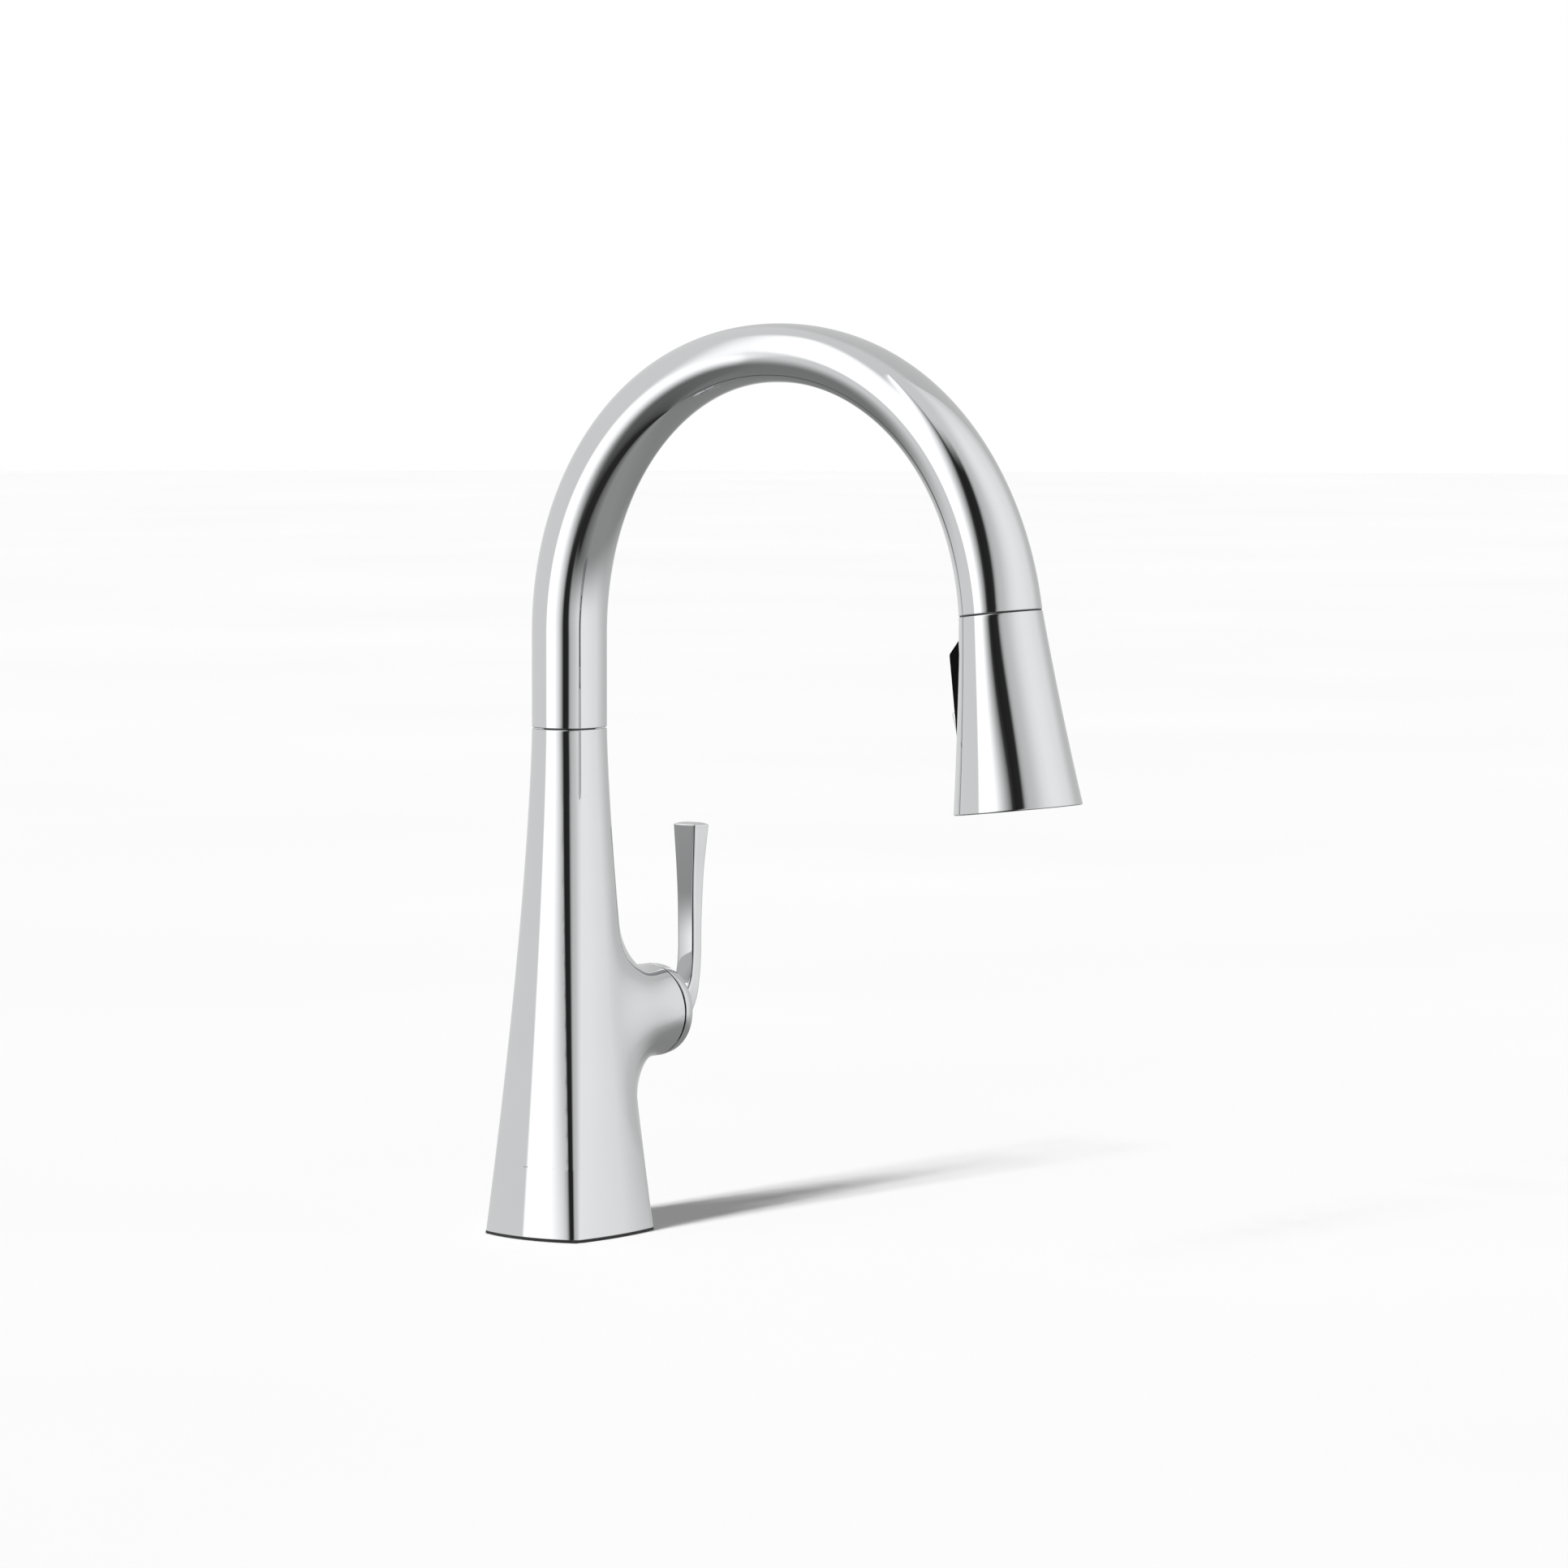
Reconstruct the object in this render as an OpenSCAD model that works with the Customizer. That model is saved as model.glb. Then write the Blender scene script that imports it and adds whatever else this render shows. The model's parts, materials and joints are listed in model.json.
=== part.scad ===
// Single-lever pull-down kitchen faucet: a square column flares into the deck and a tall arch
// turns from square to round where it meets the spray head.
// Millimetres. The origin is the centre of the column on the deck, +Z is up, the spout reaches
// towards -Y and the lever stands on the +X side.

/* [Column] */
// Height of the turning joint between the column and the spout
seam_z = 236.9; // [225:0.1:245]
// Half width of the column's base, side to side, measured to its corners
base_ax = 29.4; // [27:0.1:31]
// Half depth of the column's base, measured to its corners
base_ay = 28; // [26:0.1:30]
// Half size of the column at the turning joint, measured to its corners
seam_a = 12.85; // [12:0.05:13.5]
// How late the column flares: 1 is a straight taper
flare = 1.42; // [1.2:0.01:1.8]

/* [Spout] */
// Height at which the straight part of the spout ends
arch_z = 280; // [270:0.1:300]
// Half width of the arch
arch_ry = 124.3; // [115:0.1:130]
// Rise of the arch above its straight part
arch_rz = 132.1; // [120:0.1:140]
// How full the arch's shoulders are: 2 makes it an ellipse
arch_fill = 2.06; // [2:0.01:2.3]
// Angle swept by the arch
arch_end = 172.1; // [168:0.1:178]
// Half size of the tube at the middle of the arch, measured to its corners
mid_a = 10.85; // [10.2:0.05:11.5]
// Radius of the round end of the spout
outlet_r = 18.6; // [18:0.1:20]

/* [Spray head] */
// Length of the spray head below the joint
head_l = 87.6; // [85:0.1:95]
// Radius of the spray head's open end
head_r = 28.8; // [28:0.1:30]
// Half width of the button pad
pad_w = 8; // [7:0.1:9]
// Distance from the head's axis to the flat face of the button pad
pad_h = 25.2; // [23.8:0.1:26]
// Travel of each push button
press = 1.5; // [1:0.1:1.6]

/* [Handle] */
// Height of the handle's axis
boss_z = 99.5; // [95:0.1:105]
// Radius of the boss and of the handle's hub
boss_r = 22; // [21:0.1:22.4]
// Distance from the column's axis to the end of the boss
boss_x = 59.2; // [58:0.1:60]
// Height of the lever's tip
lever_z = 186; // [170:1:200]

/* [Mounting] */
// Radius of the threaded shank, which passes a 35 mm hole
shank_r = 16.5; // [16:0.1:17]
// Length of the shank below the deck
shank_l = 75; // [60:1:90]
// Thickness of the deck drawn between the gasket and the mounting nut
deck_t = 30; // [10:1:40]

/* [Hidden] */
$fn = 64;
gap = 0.5;              // seam left open between two bodies
fit = 0.05;             // radial clearance of a running fit
gasket_t = 1.3;
seg = 8;                // points on each side of a square section
hose_r = 5.3;
port_r = 4.5;           // M10 x 1 port
port_x = 5.8;           // the hot and cold ports are at -X and +X
port_y = 8.7;
port_d = norm([port_x, port_y]);  // distance of each port from the column's axis
pivot_x = 38;           // the lever tilts about this point on the boss's axis
ball_r = norm([boss_x - pivot_x, boss_r]) + fit;  // sphere that the end of the boss lies inside
riser_r = 2.4;
tube_wall = 0.7;
sleeve_r = 12;          // outside of the sleeve that the spout turns on
spigot_r = 10.5;        // its upper end, pressed into the spout
pin_r = 1.5;
rise = 6;               // height of the hot and cold inlets about the handle's axis
disc_arm = 10;          // from the pivot to the ball that drives the moving disc
end_y = arch_point(arch_end)[0];
end_z = arch_point(arch_end)[1];
tilt = atan2(-arch_way(arch_end)[0], -arch_way(arch_end)[1]);  // lean of the spray head
end_a = outlet_r / sqrt(2);
round_k = sqrt(2) - 1;  // bulge at which a bowed square becomes a circle
deck_low = -deck_t;

// ---- sections and lofts ----

// Half of a bowed side: [outward, along] pairs over one side of half length h and bulge b
function side(h, b) = let (r = (h * h + b * b) / (2 * b), t = asin(min(1, h / r)))
    [for (i = [0:seg - 1]) let (a = -t + 2 * t * i / seg) [r * cos(a) - r * cos(t), r * sin(a)]];

// Square section with bowed sides: kx bows the left and right sides, ky the front and back
function bowed(ax, ay, kx, ky) = let (p = side(ay, kx * ay), q = side(ax, ky * ax)) concat(
    [for (v = p) [ax + v[0], v[1]]],
    [for (v = q) [-v[1], ay + v[0]]],
    [for (v = p) [-ax - v[0], -v[1]]],
    [for (v = q) [v[1], -ay - v[0]]]);

function circle_pts(r, n) = [for (i = [0:n - 1]) let (a = 360 * i / n - 45) [r * cos(a), r * sin(a)]];
function mix(a, b, t) = a + (b - a) * t;
function flat(l) = [for (a = l) for (b = a) b];

// A point of the arch's centre line at angle a, as [y, z], and the direction of the line there
function arch_point(a) =
    let (q = pow(pow(abs(cos(a)), arch_fill) + pow(abs(sin(a)), arch_fill), -1 / arch_fill))
    [-arch_ry * (1 - q * cos(a)), arch_z + arch_rz * q * sin(a)];
function arch_way(a) = let (d = arch_point(a + 0.05) - arch_point(a - 0.05)) d / norm(d);

// Places a 2D section at c, where t is the unit direction of the path in the YZ plane
function ring(sec, c, t) = [for (p = sec) [p[0], c[0] + p[1] * t[1], c[1] - p[1] * t[0]]];

function skin(m, n, o, flip) = [for (i = [0:m - 2]) for (j = [0:n - 1])
    let (a = o + i * n + j, b = a + n, d = o + i * n + (j + 1) % n, c = d + n)
    for (f = flip ? [[a, c, b], [a, d, c]] : [[a, b, c], [a, c, d]]) f];

function cap(o, n, flip) = [flip ? [for (j = [n - 1:-1:0]) o + j] : [for (j = [0:n - 1]) o + j]];

// A closed solid through a list of rings
module loft(rings) {
    n = len(rings[0]);
    m = len(rings);
    polyhedron(flat(rings), concat(skin(m, n, 0, false), cap(0, n, false), cap((m - 1) * n, n, true)));
}

// A tube whose outer and inner rings have the same number of points
module tube_loft(outer, inner) {
    n = len(outer[0]);
    m = len(outer);
    s = m * n;
    top = s - n;
    ends = [for (j = [0:n - 1]) let (k = (j + 1) % n) for (f = [
        [j, k, s + k], [j, s + k, s + j],
        [top + j, s + top + k, top + k], [top + j, s + top + j, s + top + k]]) f];
    polyhedron(concat(flat(outer), flat(inner)),
        concat(skin(m, n, 0, false), skin(m, n, s, true), ends));
}

module ring_solid(r_out, r_in, h) {
    difference() {
        cylinder(r = r_out, h = h);
        translate([0, 0, -1]) cylinder(r = r_in, h = h + 2);
    }
}

// Turns +Z to +X about the handle's axis: children are drawn along the boss
module along_boss(x) {
    translate([x, 0, boss_z]) rotate([0, 90, 0]) children();
}

// The spray head's own frame: its axis is +Z, pointing the way the head pulls out, and its
// buttons are on the -Y side
module head_frame(l = 0) {
    translate([0, end_y, end_z]) rotate([180 - tilt, 0, 0]) translate([0, 0, l]) children();
}

// ---- column ----

function column_u(z) = pow(max(0, (seam_z - z) / seam_z), flare);
function column_section(z) = let (u = column_u(z)) bowed(
    mix(seam_a * 1.04, base_ax, u), mix(seam_a, base_ay, u), mix(0.3, 0.21, u), mix(0.22, 0.1, u));
// The hollow foot of the column keeps a wall 4.5 mm thick
function column_cavity(z) = let (u = column_u(z)) bowed(mix(seam_a * 1.04, base_ax, u) - 4.5,
    mix(seam_a, base_ay, u) - 4.5, mix(0.3, 0.21, u), mix(0.22, 0.1, u));
column_top = seam_z - gap / 2;
column_zs = [for (i = [0:22]) mix(gasket_t, column_top, i / 22)];

module column_shell() color("silver") difference() {
    union() {
        loft([for (z = column_zs) ring(column_section(z), [0, z], [0, 1])]);
        along_boss(0) cylinder(r = boss_r, h = boss_x);
    }
    translate([0, 0, gasket_t - 1]) cylinder(r = 21, h = 30);
    translate([0, 0, 29]) cylinder(r1 = 20.5, r2 = 16, h = 61);
    loft([for (z = [31, 53, 75]) ring(column_cavity(z), [0, z], [0, 1])]);
    translate([0, 0, 89]) cylinder(r = 16, h = 34);
    translate([0, 0, 122]) cylinder(r = 13.6, h = sleeve_z - 123);
    translate([0, 0, 200]) cylinder(r = sleeve_r + fit, h = 60);
    translate([0, 0, column_top - 4]) cylinder(r = 13.2, h = 5);
    along_boss(8) cylinder(r = 17.6, h = boss_x);
}

module deck_gasket() color("dimgray") difference() {
    linear_extrude(gasket_t) polygon(bowed(base_ax - 0.7, base_ay - 0.7, 0.21, 0.1));
    translate([0, 0, -1]) cylinder(r = shank_r + 0.6, h = 4);
}

// ---- mounting ----

module mounting_shank() color("goldenrod") difference() {
    union() {
        translate([0, 0, gasket_t]) cylinder(r = 20.95, h = 4.7);
        translate([0, 0, -shank_l]) cylinder(r = shank_r, h = shank_l + 4);
    }
    translate([0, 0, -shank_l - 1]) cylinder(r = shank_r - 1.4, h = shank_l + 10);
}

module rubber_washer() color("black")
    translate([0, 0, deck_low - 3]) ring_solid(27, shank_r + 0.2, 3);

module backing_plate() color("gray") translate([0, 0, deck_low - 5]) ring_solid(27, shank_r + 0.2, 2);

clamp_r = 24.5;         // the two clamp screws stand this far from the shank's axis
module mounting_nut() color("goldenrod") translate([0, 0, deck_low - 15]) difference() {
    union() {
        cylinder(r = 22, h = 7);
        cylinder(r = 28, h = 4);
    }
    translate([0, 0, -1]) cylinder(r = shank_r + fit, h = 12);
    for (a = [45, 225]) rotate(a) translate([clamp_r, 0, -1]) cylinder(r = 2 + fit, h = 9);
}

module clamp_screws() color("gray") for (a = [45, 225]) rotate(a) translate([clamp_r, 0, deck_low - 5]) {
    mirror([0, 0, 1]) cylinder(r = 2, h = 22);
    translate([0, 0, -24]) cylinder(r = 3.5, h = 3);
}

// ---- valve ----

// Hot, cold and mixed: at the foot of the column as [x, y], then behind the cartridge as [y, z]
ports = [[-port_x, -port_y], [port_x, -port_y], [0, port_d]];
inlets = [[-port_y, rise], [-port_y, -rise], [port_d, 0]];
manifold_z = gasket_t + 4.7;
manifold_t = 18;
seat_x = 8.2;
seat_t = 5.6;
base_x = 14.4;
disc_x = 19.4;

module valve_manifold() color("goldenrod") translate([0, 0, manifold_z]) difference() {
    cylinder(r = 20.9, h = manifold_t);
    translate([0, 0, -1]) cylinder(r = hose_r + 0.2, h = manifold_t + 2);
    for (p = ports) translate([p[0], p[1], 0]) {
        translate([0, 0, -1]) cylinder(r = port_r, h = 13);
        cylinder(r = riser_r - tube_wall, h = manifold_t + 1);
    }
}

// A copper tube from port k of the manifold up to the seat behind the cartridge
module riser(k) {
    z = boss_z + inlets[k][1];
    run = seat_x - ports[k][0];
    difference() {
        union() {
            translate([ports[k][0], ports[k][1], manifold_z + manifold_t])
                cylinder(r = riser_r, h = z - manifold_z - manifold_t);
            translate([ports[k][0], ports[k][1], z]) sphere(r = riser_r);
            translate([ports[k][0], ports[k][1], z]) rotate([0, 90, 0]) cylinder(r = riser_r, h = run);
        }
        translate([ports[k][0], ports[k][1], manifold_z])
            cylinder(r = riser_r - tube_wall, h = z - manifold_z);
        translate([ports[k][0], ports[k][1], z]) rotate([0, 90, 0])
            cylinder(r = riser_r - tube_wall, h = run + 1);
    }
}

module hot_riser() color("peru") riser(0);
module cold_riser() color("peru") riser(1);
module outlet_riser() color("peru") riser(2);

// Holes through a piece of the valve, one behind each inlet
module inlet_holes(r, h) for (p = inlets) translate([-p[1], p[0] , -1]) cylinder(r = r, h = h + 2);

module cartridge_seat() color("goldenrod") along_boss(seat_x) difference() {
    cylinder(r = 17.5, h = seat_t);
    inlet_holes(riser_r - tube_wall, seat_t);
}

module port_seals() color("black") along_boss(seat_x + seat_t)
    for (p = inlets) translate([-p[1], p[0], 0]) ring_solid(3.4, 2, base_x - seat_x - seat_t);

module cartridge_base() color("white") along_boss(base_x) difference() {
    cylinder(r = 17.4, h = disc_x - base_x);
    inlet_holes(2, disc_x - base_x);
}

module fixed_disc() color("ivory") along_boss(disc_x) difference() {
    cylinder(r = 13.6, h = 3);
    inlet_holes(2, 3);
}

module cartridge_housing() color("white") along_boss(disc_x) difference() {
    cylinder(r = 17.4, h = 24);
    translate([0, 0, -1]) cylinder(r = 14, h = 26);
}

module cartridge_nut() color("goldenrod") along_boss(disc_x + 24) ring_solid(17.5, 12.5, 7);

// ---- spout joint ----

sleeve_z = 204;
module glide_ring() color("black") translate([0, 0, column_top - 4]) ring_solid(13.2, sleeve_r + fit, 4);

module swivel_sleeve() color("goldenrod") difference() {
    union() {
        translate([0, 0, sleeve_z - 6]) cylinder(r = sleeve_r, h = seam_z - sleeve_z + 6 + gap / 2);
        translate([0, 0, seam_z]) cylinder(r = spigot_r, h = 22);
    }
    translate([0, 0, sleeve_z - 7]) cylinder(r = 8.6, h = 80);
    for (z = [212, 224]) translate([0, 0, z]) ring_solid(13, 10, 2.4);
    translate([0, 0, sleeve_z - 3.4]) ring_solid(13, 10.6, 1.6);
}

module swivel_o_rings() color("black") for (z = [212, 224])
    translate([0, 0, z + 1.2]) rotate_extrude() translate([11, 0]) circle(r = 0.97, $fn = 32);

module retaining_ring() color("gray") translate([0, 0, sleeve_z - 3.2]) difference() {
    ring_solid(13.2, 10.8, 1.2);
    translate([0, -4, -1]) cube([20, 8, 4]);
}

// ---- spout ----

// Share of the way from the turning joint to the spray head
function spout_u(a) = a / arch_end;
function spout_a(u) = u < 0.5 ? mix(mid_a, seam_a, pow(cos(180 * u), 1.6))
    : mix(mid_a, end_a, pow(2 * u - 1, 2));
// How far the section has turned from square to round
function roundness(u) = let (t = min(1, max(0, (u - 0.55) / 0.42))) t * t * (3 - 2 * t);
function spout_section(u) = let (s = spout_a(u), w = roundness(u))
    bowed(s * mix(1.04, 1, w), s, mix(0.3, round_k, w), mix(0.22, round_k, w));
arch_n = 38;
spout_bore = 11.2;
spigot_z = seam_z + 26; // the bore is narrower below this, where the sleeve's spigot is pressed in
spout_path = concat(
    [for (z = [seam_z + gap / 2, mix(seam_z, arch_z, 0.5)]) [0, z, 0, 1, 0]],
    [for (i = [0:arch_n]) let (a = arch_end * i / arch_n)
        concat(arch_point(a), arch_way(a), spout_u(a))]);

module spout_tube() color("silver") difference() {
    tube_loft([for (p = spout_path) ring(spout_section(p[4]), [p[0], p[1]], [p[2], p[3]])],
        [for (p = spout_path) ring(circle_pts(p[1] < spigot_z && p[4] == 0 ? 8.8 : spout_bore, 4 * seg),
            [p[0], p[1]], [p[2], p[3]])]);
    translate([0, 0, seam_z - 1]) cylinder(r = spigot_r + fit, h = 23.2);
    head_frame(-30) cylinder(r = 12.6, h = 40);
    head_frame(-gap / 2) cylinder(r = 30, h = 5);
}

module dock_collar() color("black") head_frame(-25) ring_solid(12.55, 9.6, 25 - gap);

module dock_magnet() color("dimgray") head_frame(-29.8) ring_solid(12.5, 9.4, 4.6);

hose_end_l = -12.6;     // the hose stops here, in the spray head's frame
hose_low = -68;
hose_path = concat(
    [for (z = [hose_low, -20, 40, 120, 200, seam_z, 262]) [0, z, 0, 1]],
    [for (i = [0:24]) let (a = (arch_end - 6) * i / 24) concat(arch_point(a), arch_way(a))],
    [[end_y - hose_end_l * sin(tilt), end_z - hose_end_l * cos(tilt), -sin(tilt), -cos(tilt)]]);

module spray_hose() color("gray")
    loft([for (p = hose_path) ring(circle_pts(hose_r, 12), [p[0], p[1]], [p[2], p[3]])]);

module hose_end_fitting() color("goldenrod") translate([0, 0, hose_low - 17]) difference() {
    cylinder(r = hose_r, h = 16.9);
    translate([0, 0, -1]) cylinder(r = 3.4, h = 30);
}

// ---- handle ----

module stem_carrier() color("gainsboro") along_boss(disc_x + 12) difference() {
    cylinder(r = 13.7, h = 11.5);
    translate([-8, -3.75, -1]) cube([16, 7.5, 14]);
    translate([0, -15, pivot_x - disc_x - 12]) rotate([-90, 0, 0])
        cylinder(r = pin_r, h = 30);
}

module stem_pin() color("gray") translate([pivot_x, -11, boss_z]) rotate([-90, 0, 0])
    cylinder(r = pin_r, h = 22);

module cartridge_stem() color("gray") difference() {
    union() {
        translate([pivot_x, 0, boss_z]) rotate([90, 0, 0]) cylinder(r = 4.4, h = 6.8, center = true);
        translate([pivot_x, -3.4, boss_z - 3.4]) cube([39, 6.8, 6.8]);
        along_boss(pivot_x - disc_arm) cylinder(r = 1.8, h = disc_arm);
        along_boss(pivot_x - disc_arm) sphere(r = 2.3);
    }
    translate([pivot_x, -5, boss_z]) rotate([-90, 0, 0]) cylinder(r = pin_r + fit, h = 10);
}

module moving_disc() color("ivory") along_boss(disc_x + 3.3) difference() {
    cylinder(r = 9, h = 6.2);
    translate([0, 0, 2.4]) cylinder(r = 3.2, h = 8);
}

// The cap turns with the lever about the boss's axis and has a slot for the stem to tilt in
module dome_cap() color("silver") difference() {
    intersection() {
        along_boss(pivot_x) sphere(r = ball_r - 0.1);
        along_boss(51.5) cylinder(r = 17.2, h = 20);
    }
    along_boss(pivot_x) sphere(r = ball_r - 2);
    along_boss(40) cylinder(r = 15.2, h = 15);
    translate([45, -3.9, boss_z - 17.5]) cube([30, 7.8, 22]);
}

hub_inner = ball_r + 0.6;
hub_x = 60.1;
// Outline of the hub from its rim to its nose, as [x, radius]
hub_outline = concat([[hub_x - 8, 0], [hub_x - 8, boss_r], [hub_x + 2, boss_r]],
    [for (a = [30:10:90]) [hub_x - 3.7 + 16.3 * sin(a), 3.4 + (boss_r - 3.4) / cos(30) * cos(a)]],
    [[hub_x + 12.6, 0]]);

// The lever's sections from its root in the hub to its tip: centre x and z above the handle's
// axis, direction in degrees from +X, thickness across the direction, width along Y
lever_h = lever_z - boss_z;
tip_crown = 0.9;        // rise of the slightly domed tip
screw_x = 71.5;         // the screw that clamps the lever to the stem
lever_steps = [
    [66, -2.6, 10, 17, 19],
    [72, -2, 14, 15, 17.5],
    [78, -0.3, 26, 12.4, 15.5],
    [82.2, 2.6, 42, 10.4, 13.6],
    [85.7, 7, 58, 8.8, 12],
    [88, 12.4, 72, 7.4, 10.8],
    [89.2, 18, 82, 7, 10.4],
    [89.8, 25, 88, 6.7, 10.3],
    [89.9, 36, 90, 6.7, 10.4],
    [90.1, lever_h * 0.58, 90, 7.5, 10.5],
    [90.3, lever_h * 0.76, 89, 8.6, 11.5],
    [90.7, lever_h * 0.9, 88, 10, 12.9],
    [91, lever_h, 88, 11.2, 13.8],
    [91, lever_h + tip_crown, 88, 8.4, 10.6]];

// Rectangle with cut corners, as [across, along Y]
function slab(t, w) = let (c = 0.12 * min(t, w), a = t / 2, b = w / 2) [
    [a, -b + c], [a, b - c], [a - c, b], [-a + c, b], [-a, b - c], [-a, -b + c], [-a + c, -b],
    [a - c, -b]];
function lever_ring(s) = [for (p = slab(s[3], s[4]))
    [s[0] - p[0] * sin(s[2]), -p[1], boss_z + s[1] + p[0] * cos(s[2])]];

module handle_lever() color("silver") difference() {
    union() {
        along_boss(0) rotate_extrude() polygon([for (p = hub_outline) [p[1], p[0]]]);
        loft([for (s = lever_steps) lever_ring(s)]);
    }
    along_boss(pivot_x) sphere(r = hub_inner);
    translate([pivot_x, -3.45, boss_z - 3.45]) cube([39.1, 6.9, 6.9]);
    translate([screw_x, 0, boss_z - 20]) cylinder(r = 2 + fit, h = 20);
    translate([screw_x, 0, boss_z - 30]) cylinder(r = 3, h = 18);
}

module set_screw() color("gray") translate([screw_x, 0, boss_z - 9.5]) difference() {
    cylinder(r = 2, h = 6);
    translate([0, 0, -1]) cylinder(r = 1.1, h = 3, $fn = 6);
}

module index_plug() color("dimgray") translate([screw_x, 0, boss_z - 13.6]) cylinder(r = 2.9, h = 1.5);

// ---- spray head ----

function head_radius(l) = let (u = l / head_l) outlet_r + (head_r - outlet_r) * (0.78 * u + 0.22 * u * u);
head_ls = [for (i = [0:12]) mix(gap / 2, head_l, i / 12)];
wall = 2.2;

module head_shell() color("silver") head_frame() difference() {
    rotate_extrude() polygon(concat([for (l = head_ls) [head_radius(l), l]],
        [for (i = [12:-1:1]) [head_radius(head_ls[i]) - wall, head_ls[i]]],
        [[head_radius(3) - wall, 3], [9.7, 3], [9.7, gap / 2]]));
    translate([-pad_w - 0.1, -40, 11.4]) cube([2 * pad_w + 0.2, 30, 42.2]);
}

module head_neck() color("gainsboro") head_frame() difference() {
    union() {
        translate([0, 0, -22]) cylinder(r = 9.52, h = 26);
        translate([0, 0, 3.1]) cylinder(r = 15.5, h = 3);
    }
    translate([0, 0, -23]) cylinder(r = 8.2, h = 14);
    translate([0, 0, -10]) cylinder(r = 7.2, h = 14);
    translate([0, 0, 3]) cylinder(r = 4, h = 4);
}

module ball_retainer() color("gray") head_frame(-14.5) ring_solid(8.15, 6.9, 3.4);

module hose_ball() color("goldenrod") head_frame(-3.4) difference() {
    union() {
        sphere(r = 6.8);
        translate([0, 0, -9]) cylinder(r = 5.2, h = 9);
    }
    translate([0, 0, -12]) cylinder(r = 3, h = 24);
}

core_top = 6.2;
aerator_l = head_l - 12;
module head_core() color("dimgray") head_frame() difference() {
    union() {
        translate([0, 0, core_top]) cylinder(r = 12.6, h = 54);
        translate([0, 0, 60]) ring_solid(21, 19, 22.9);
        translate([0, 0, 60]) cylinder(r = 19.5, h = 3);
        translate([0, 0, 60]) cylinder(r = 8.4, h = aerator_l - 61);
    }
    translate([0, 0, 5]) cylinder(r = 5.1, h = 80);
    translate([0, -20, 28]) rotate([-90, 0, 0]) cylinder(r = 2.2, h = 14);
}

module check_valve() color("white") head_frame(8) ring_solid(5, 2.5, 10);

module diverter_spool() color("ivory") head_frame(24) difference() {
    cylinder(r = 5, h = 22);
    for (l = [5, 13]) translate([0, 0, l]) ring_solid(7, 3.2, 4);
}

// Side outline of the button pad as [distance from axis, distance down the head]
module button_bezel() color("black") head_frame() difference() {
    rotate([90, 0, 90]) linear_extrude(2 * pad_w, center = true) polygon([
        [-14.2, 11.6], [-18.9, 11.6], [-pad_h, 17], [-pad_h, 53.4], [-14.2, 53.4]]);
    translate([-6, -40, 18.6]) cube([12, 40, 20.4]);
    translate([-6, -40, 41.6]) cube([12, 40, 10]);
}

// A push button with a pocket for its spring: l0 to l1 down the head, h from the axis
button_floor = 14.9 + press;  // inner end of each button, clear of the core when it is pressed
module push_button(l0, l1, h) head_frame() difference() {
    translate([-5.6, -h, l0]) cube([11.2, h - button_floor, l1 - l0]);
    translate([0, -22.4, (l0 + l1) / 2]) rotate([-90, 0, 0]) cylinder(r = 2.8, h = 10);
}

module spray_button() color("black") push_button(19, 38.6, pad_h + 1);
module pause_button() color("gainsboro") push_button(42, 51.2, pad_h + 2.4);

// One wire coil, wound about +Z
module coil_spring(r, wire, length, turns) {
    steps = 10;
    n = turns * steps;
    loft([for (i = [0:n]) let (a = 360 * i / steps, z = length * i / n)
        [for (k = [0:5]) let (b = -60 * k, q = r + wire * cos(b))
            [q * cos(a), q * sin(a), z + wire * sin(b)]]]);
}

module button_springs() color("silver") head_frame() for (l = [28.8, 46.6])
    translate([0, -13.2, l]) rotate([90, 0, 0]) coil_spring(2, 0.3, 7, 5);

module face_ring() color("silver") head_frame(head_l - 5) ring_solid(25.8, 23.4, 4);

nozzle_from = 12;       // radius of the inner ring of spray nozzles
module spray_face() color("dimgray") head_frame(head_l - 4.6) difference() {
    cylinder(r = 23.3, h = 2.6);
    translate([0, 0, -1]) cylinder(r = 8.6, h = 6);
    for (k = [0:2]) for (i = [0:11 + 6 * k])
        rotate(360 * i / (12 + 6 * k)) translate([nozzle_from + 4 * k, 0, -1]) cylinder(r = 0.9, h = 6);
}

module spray_nozzles() color("gray") head_frame(head_l - 4.6) for (k = [0:2]) for (i = [0:11 + 6 * k])
    rotate(360 * i / (12 + 6 * k)) translate([nozzle_from + 4 * k, 0, 0]) difference() {
        cylinder(r1 = 0.88, r2 = 0.7, h = 3.6);
        translate([0, 0, -1]) cylinder(r = 0.35, h = 6);
    }

module aerator_seal() color("black") head_frame(aerator_l - 1) ring_solid(8.3, 5.4, 1);

module aerator() color("gainsboro") head_frame(aerator_l) difference() {
    cylinder(r = 8.5, h = 10);
    translate([0, 0, 6]) cylinder(r = 7.2, h = 6);
    for (i = [0:7]) rotate(45 * i) translate([4, 0, -1]) cylinder(r = 1.2, h = 12);
}

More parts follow.
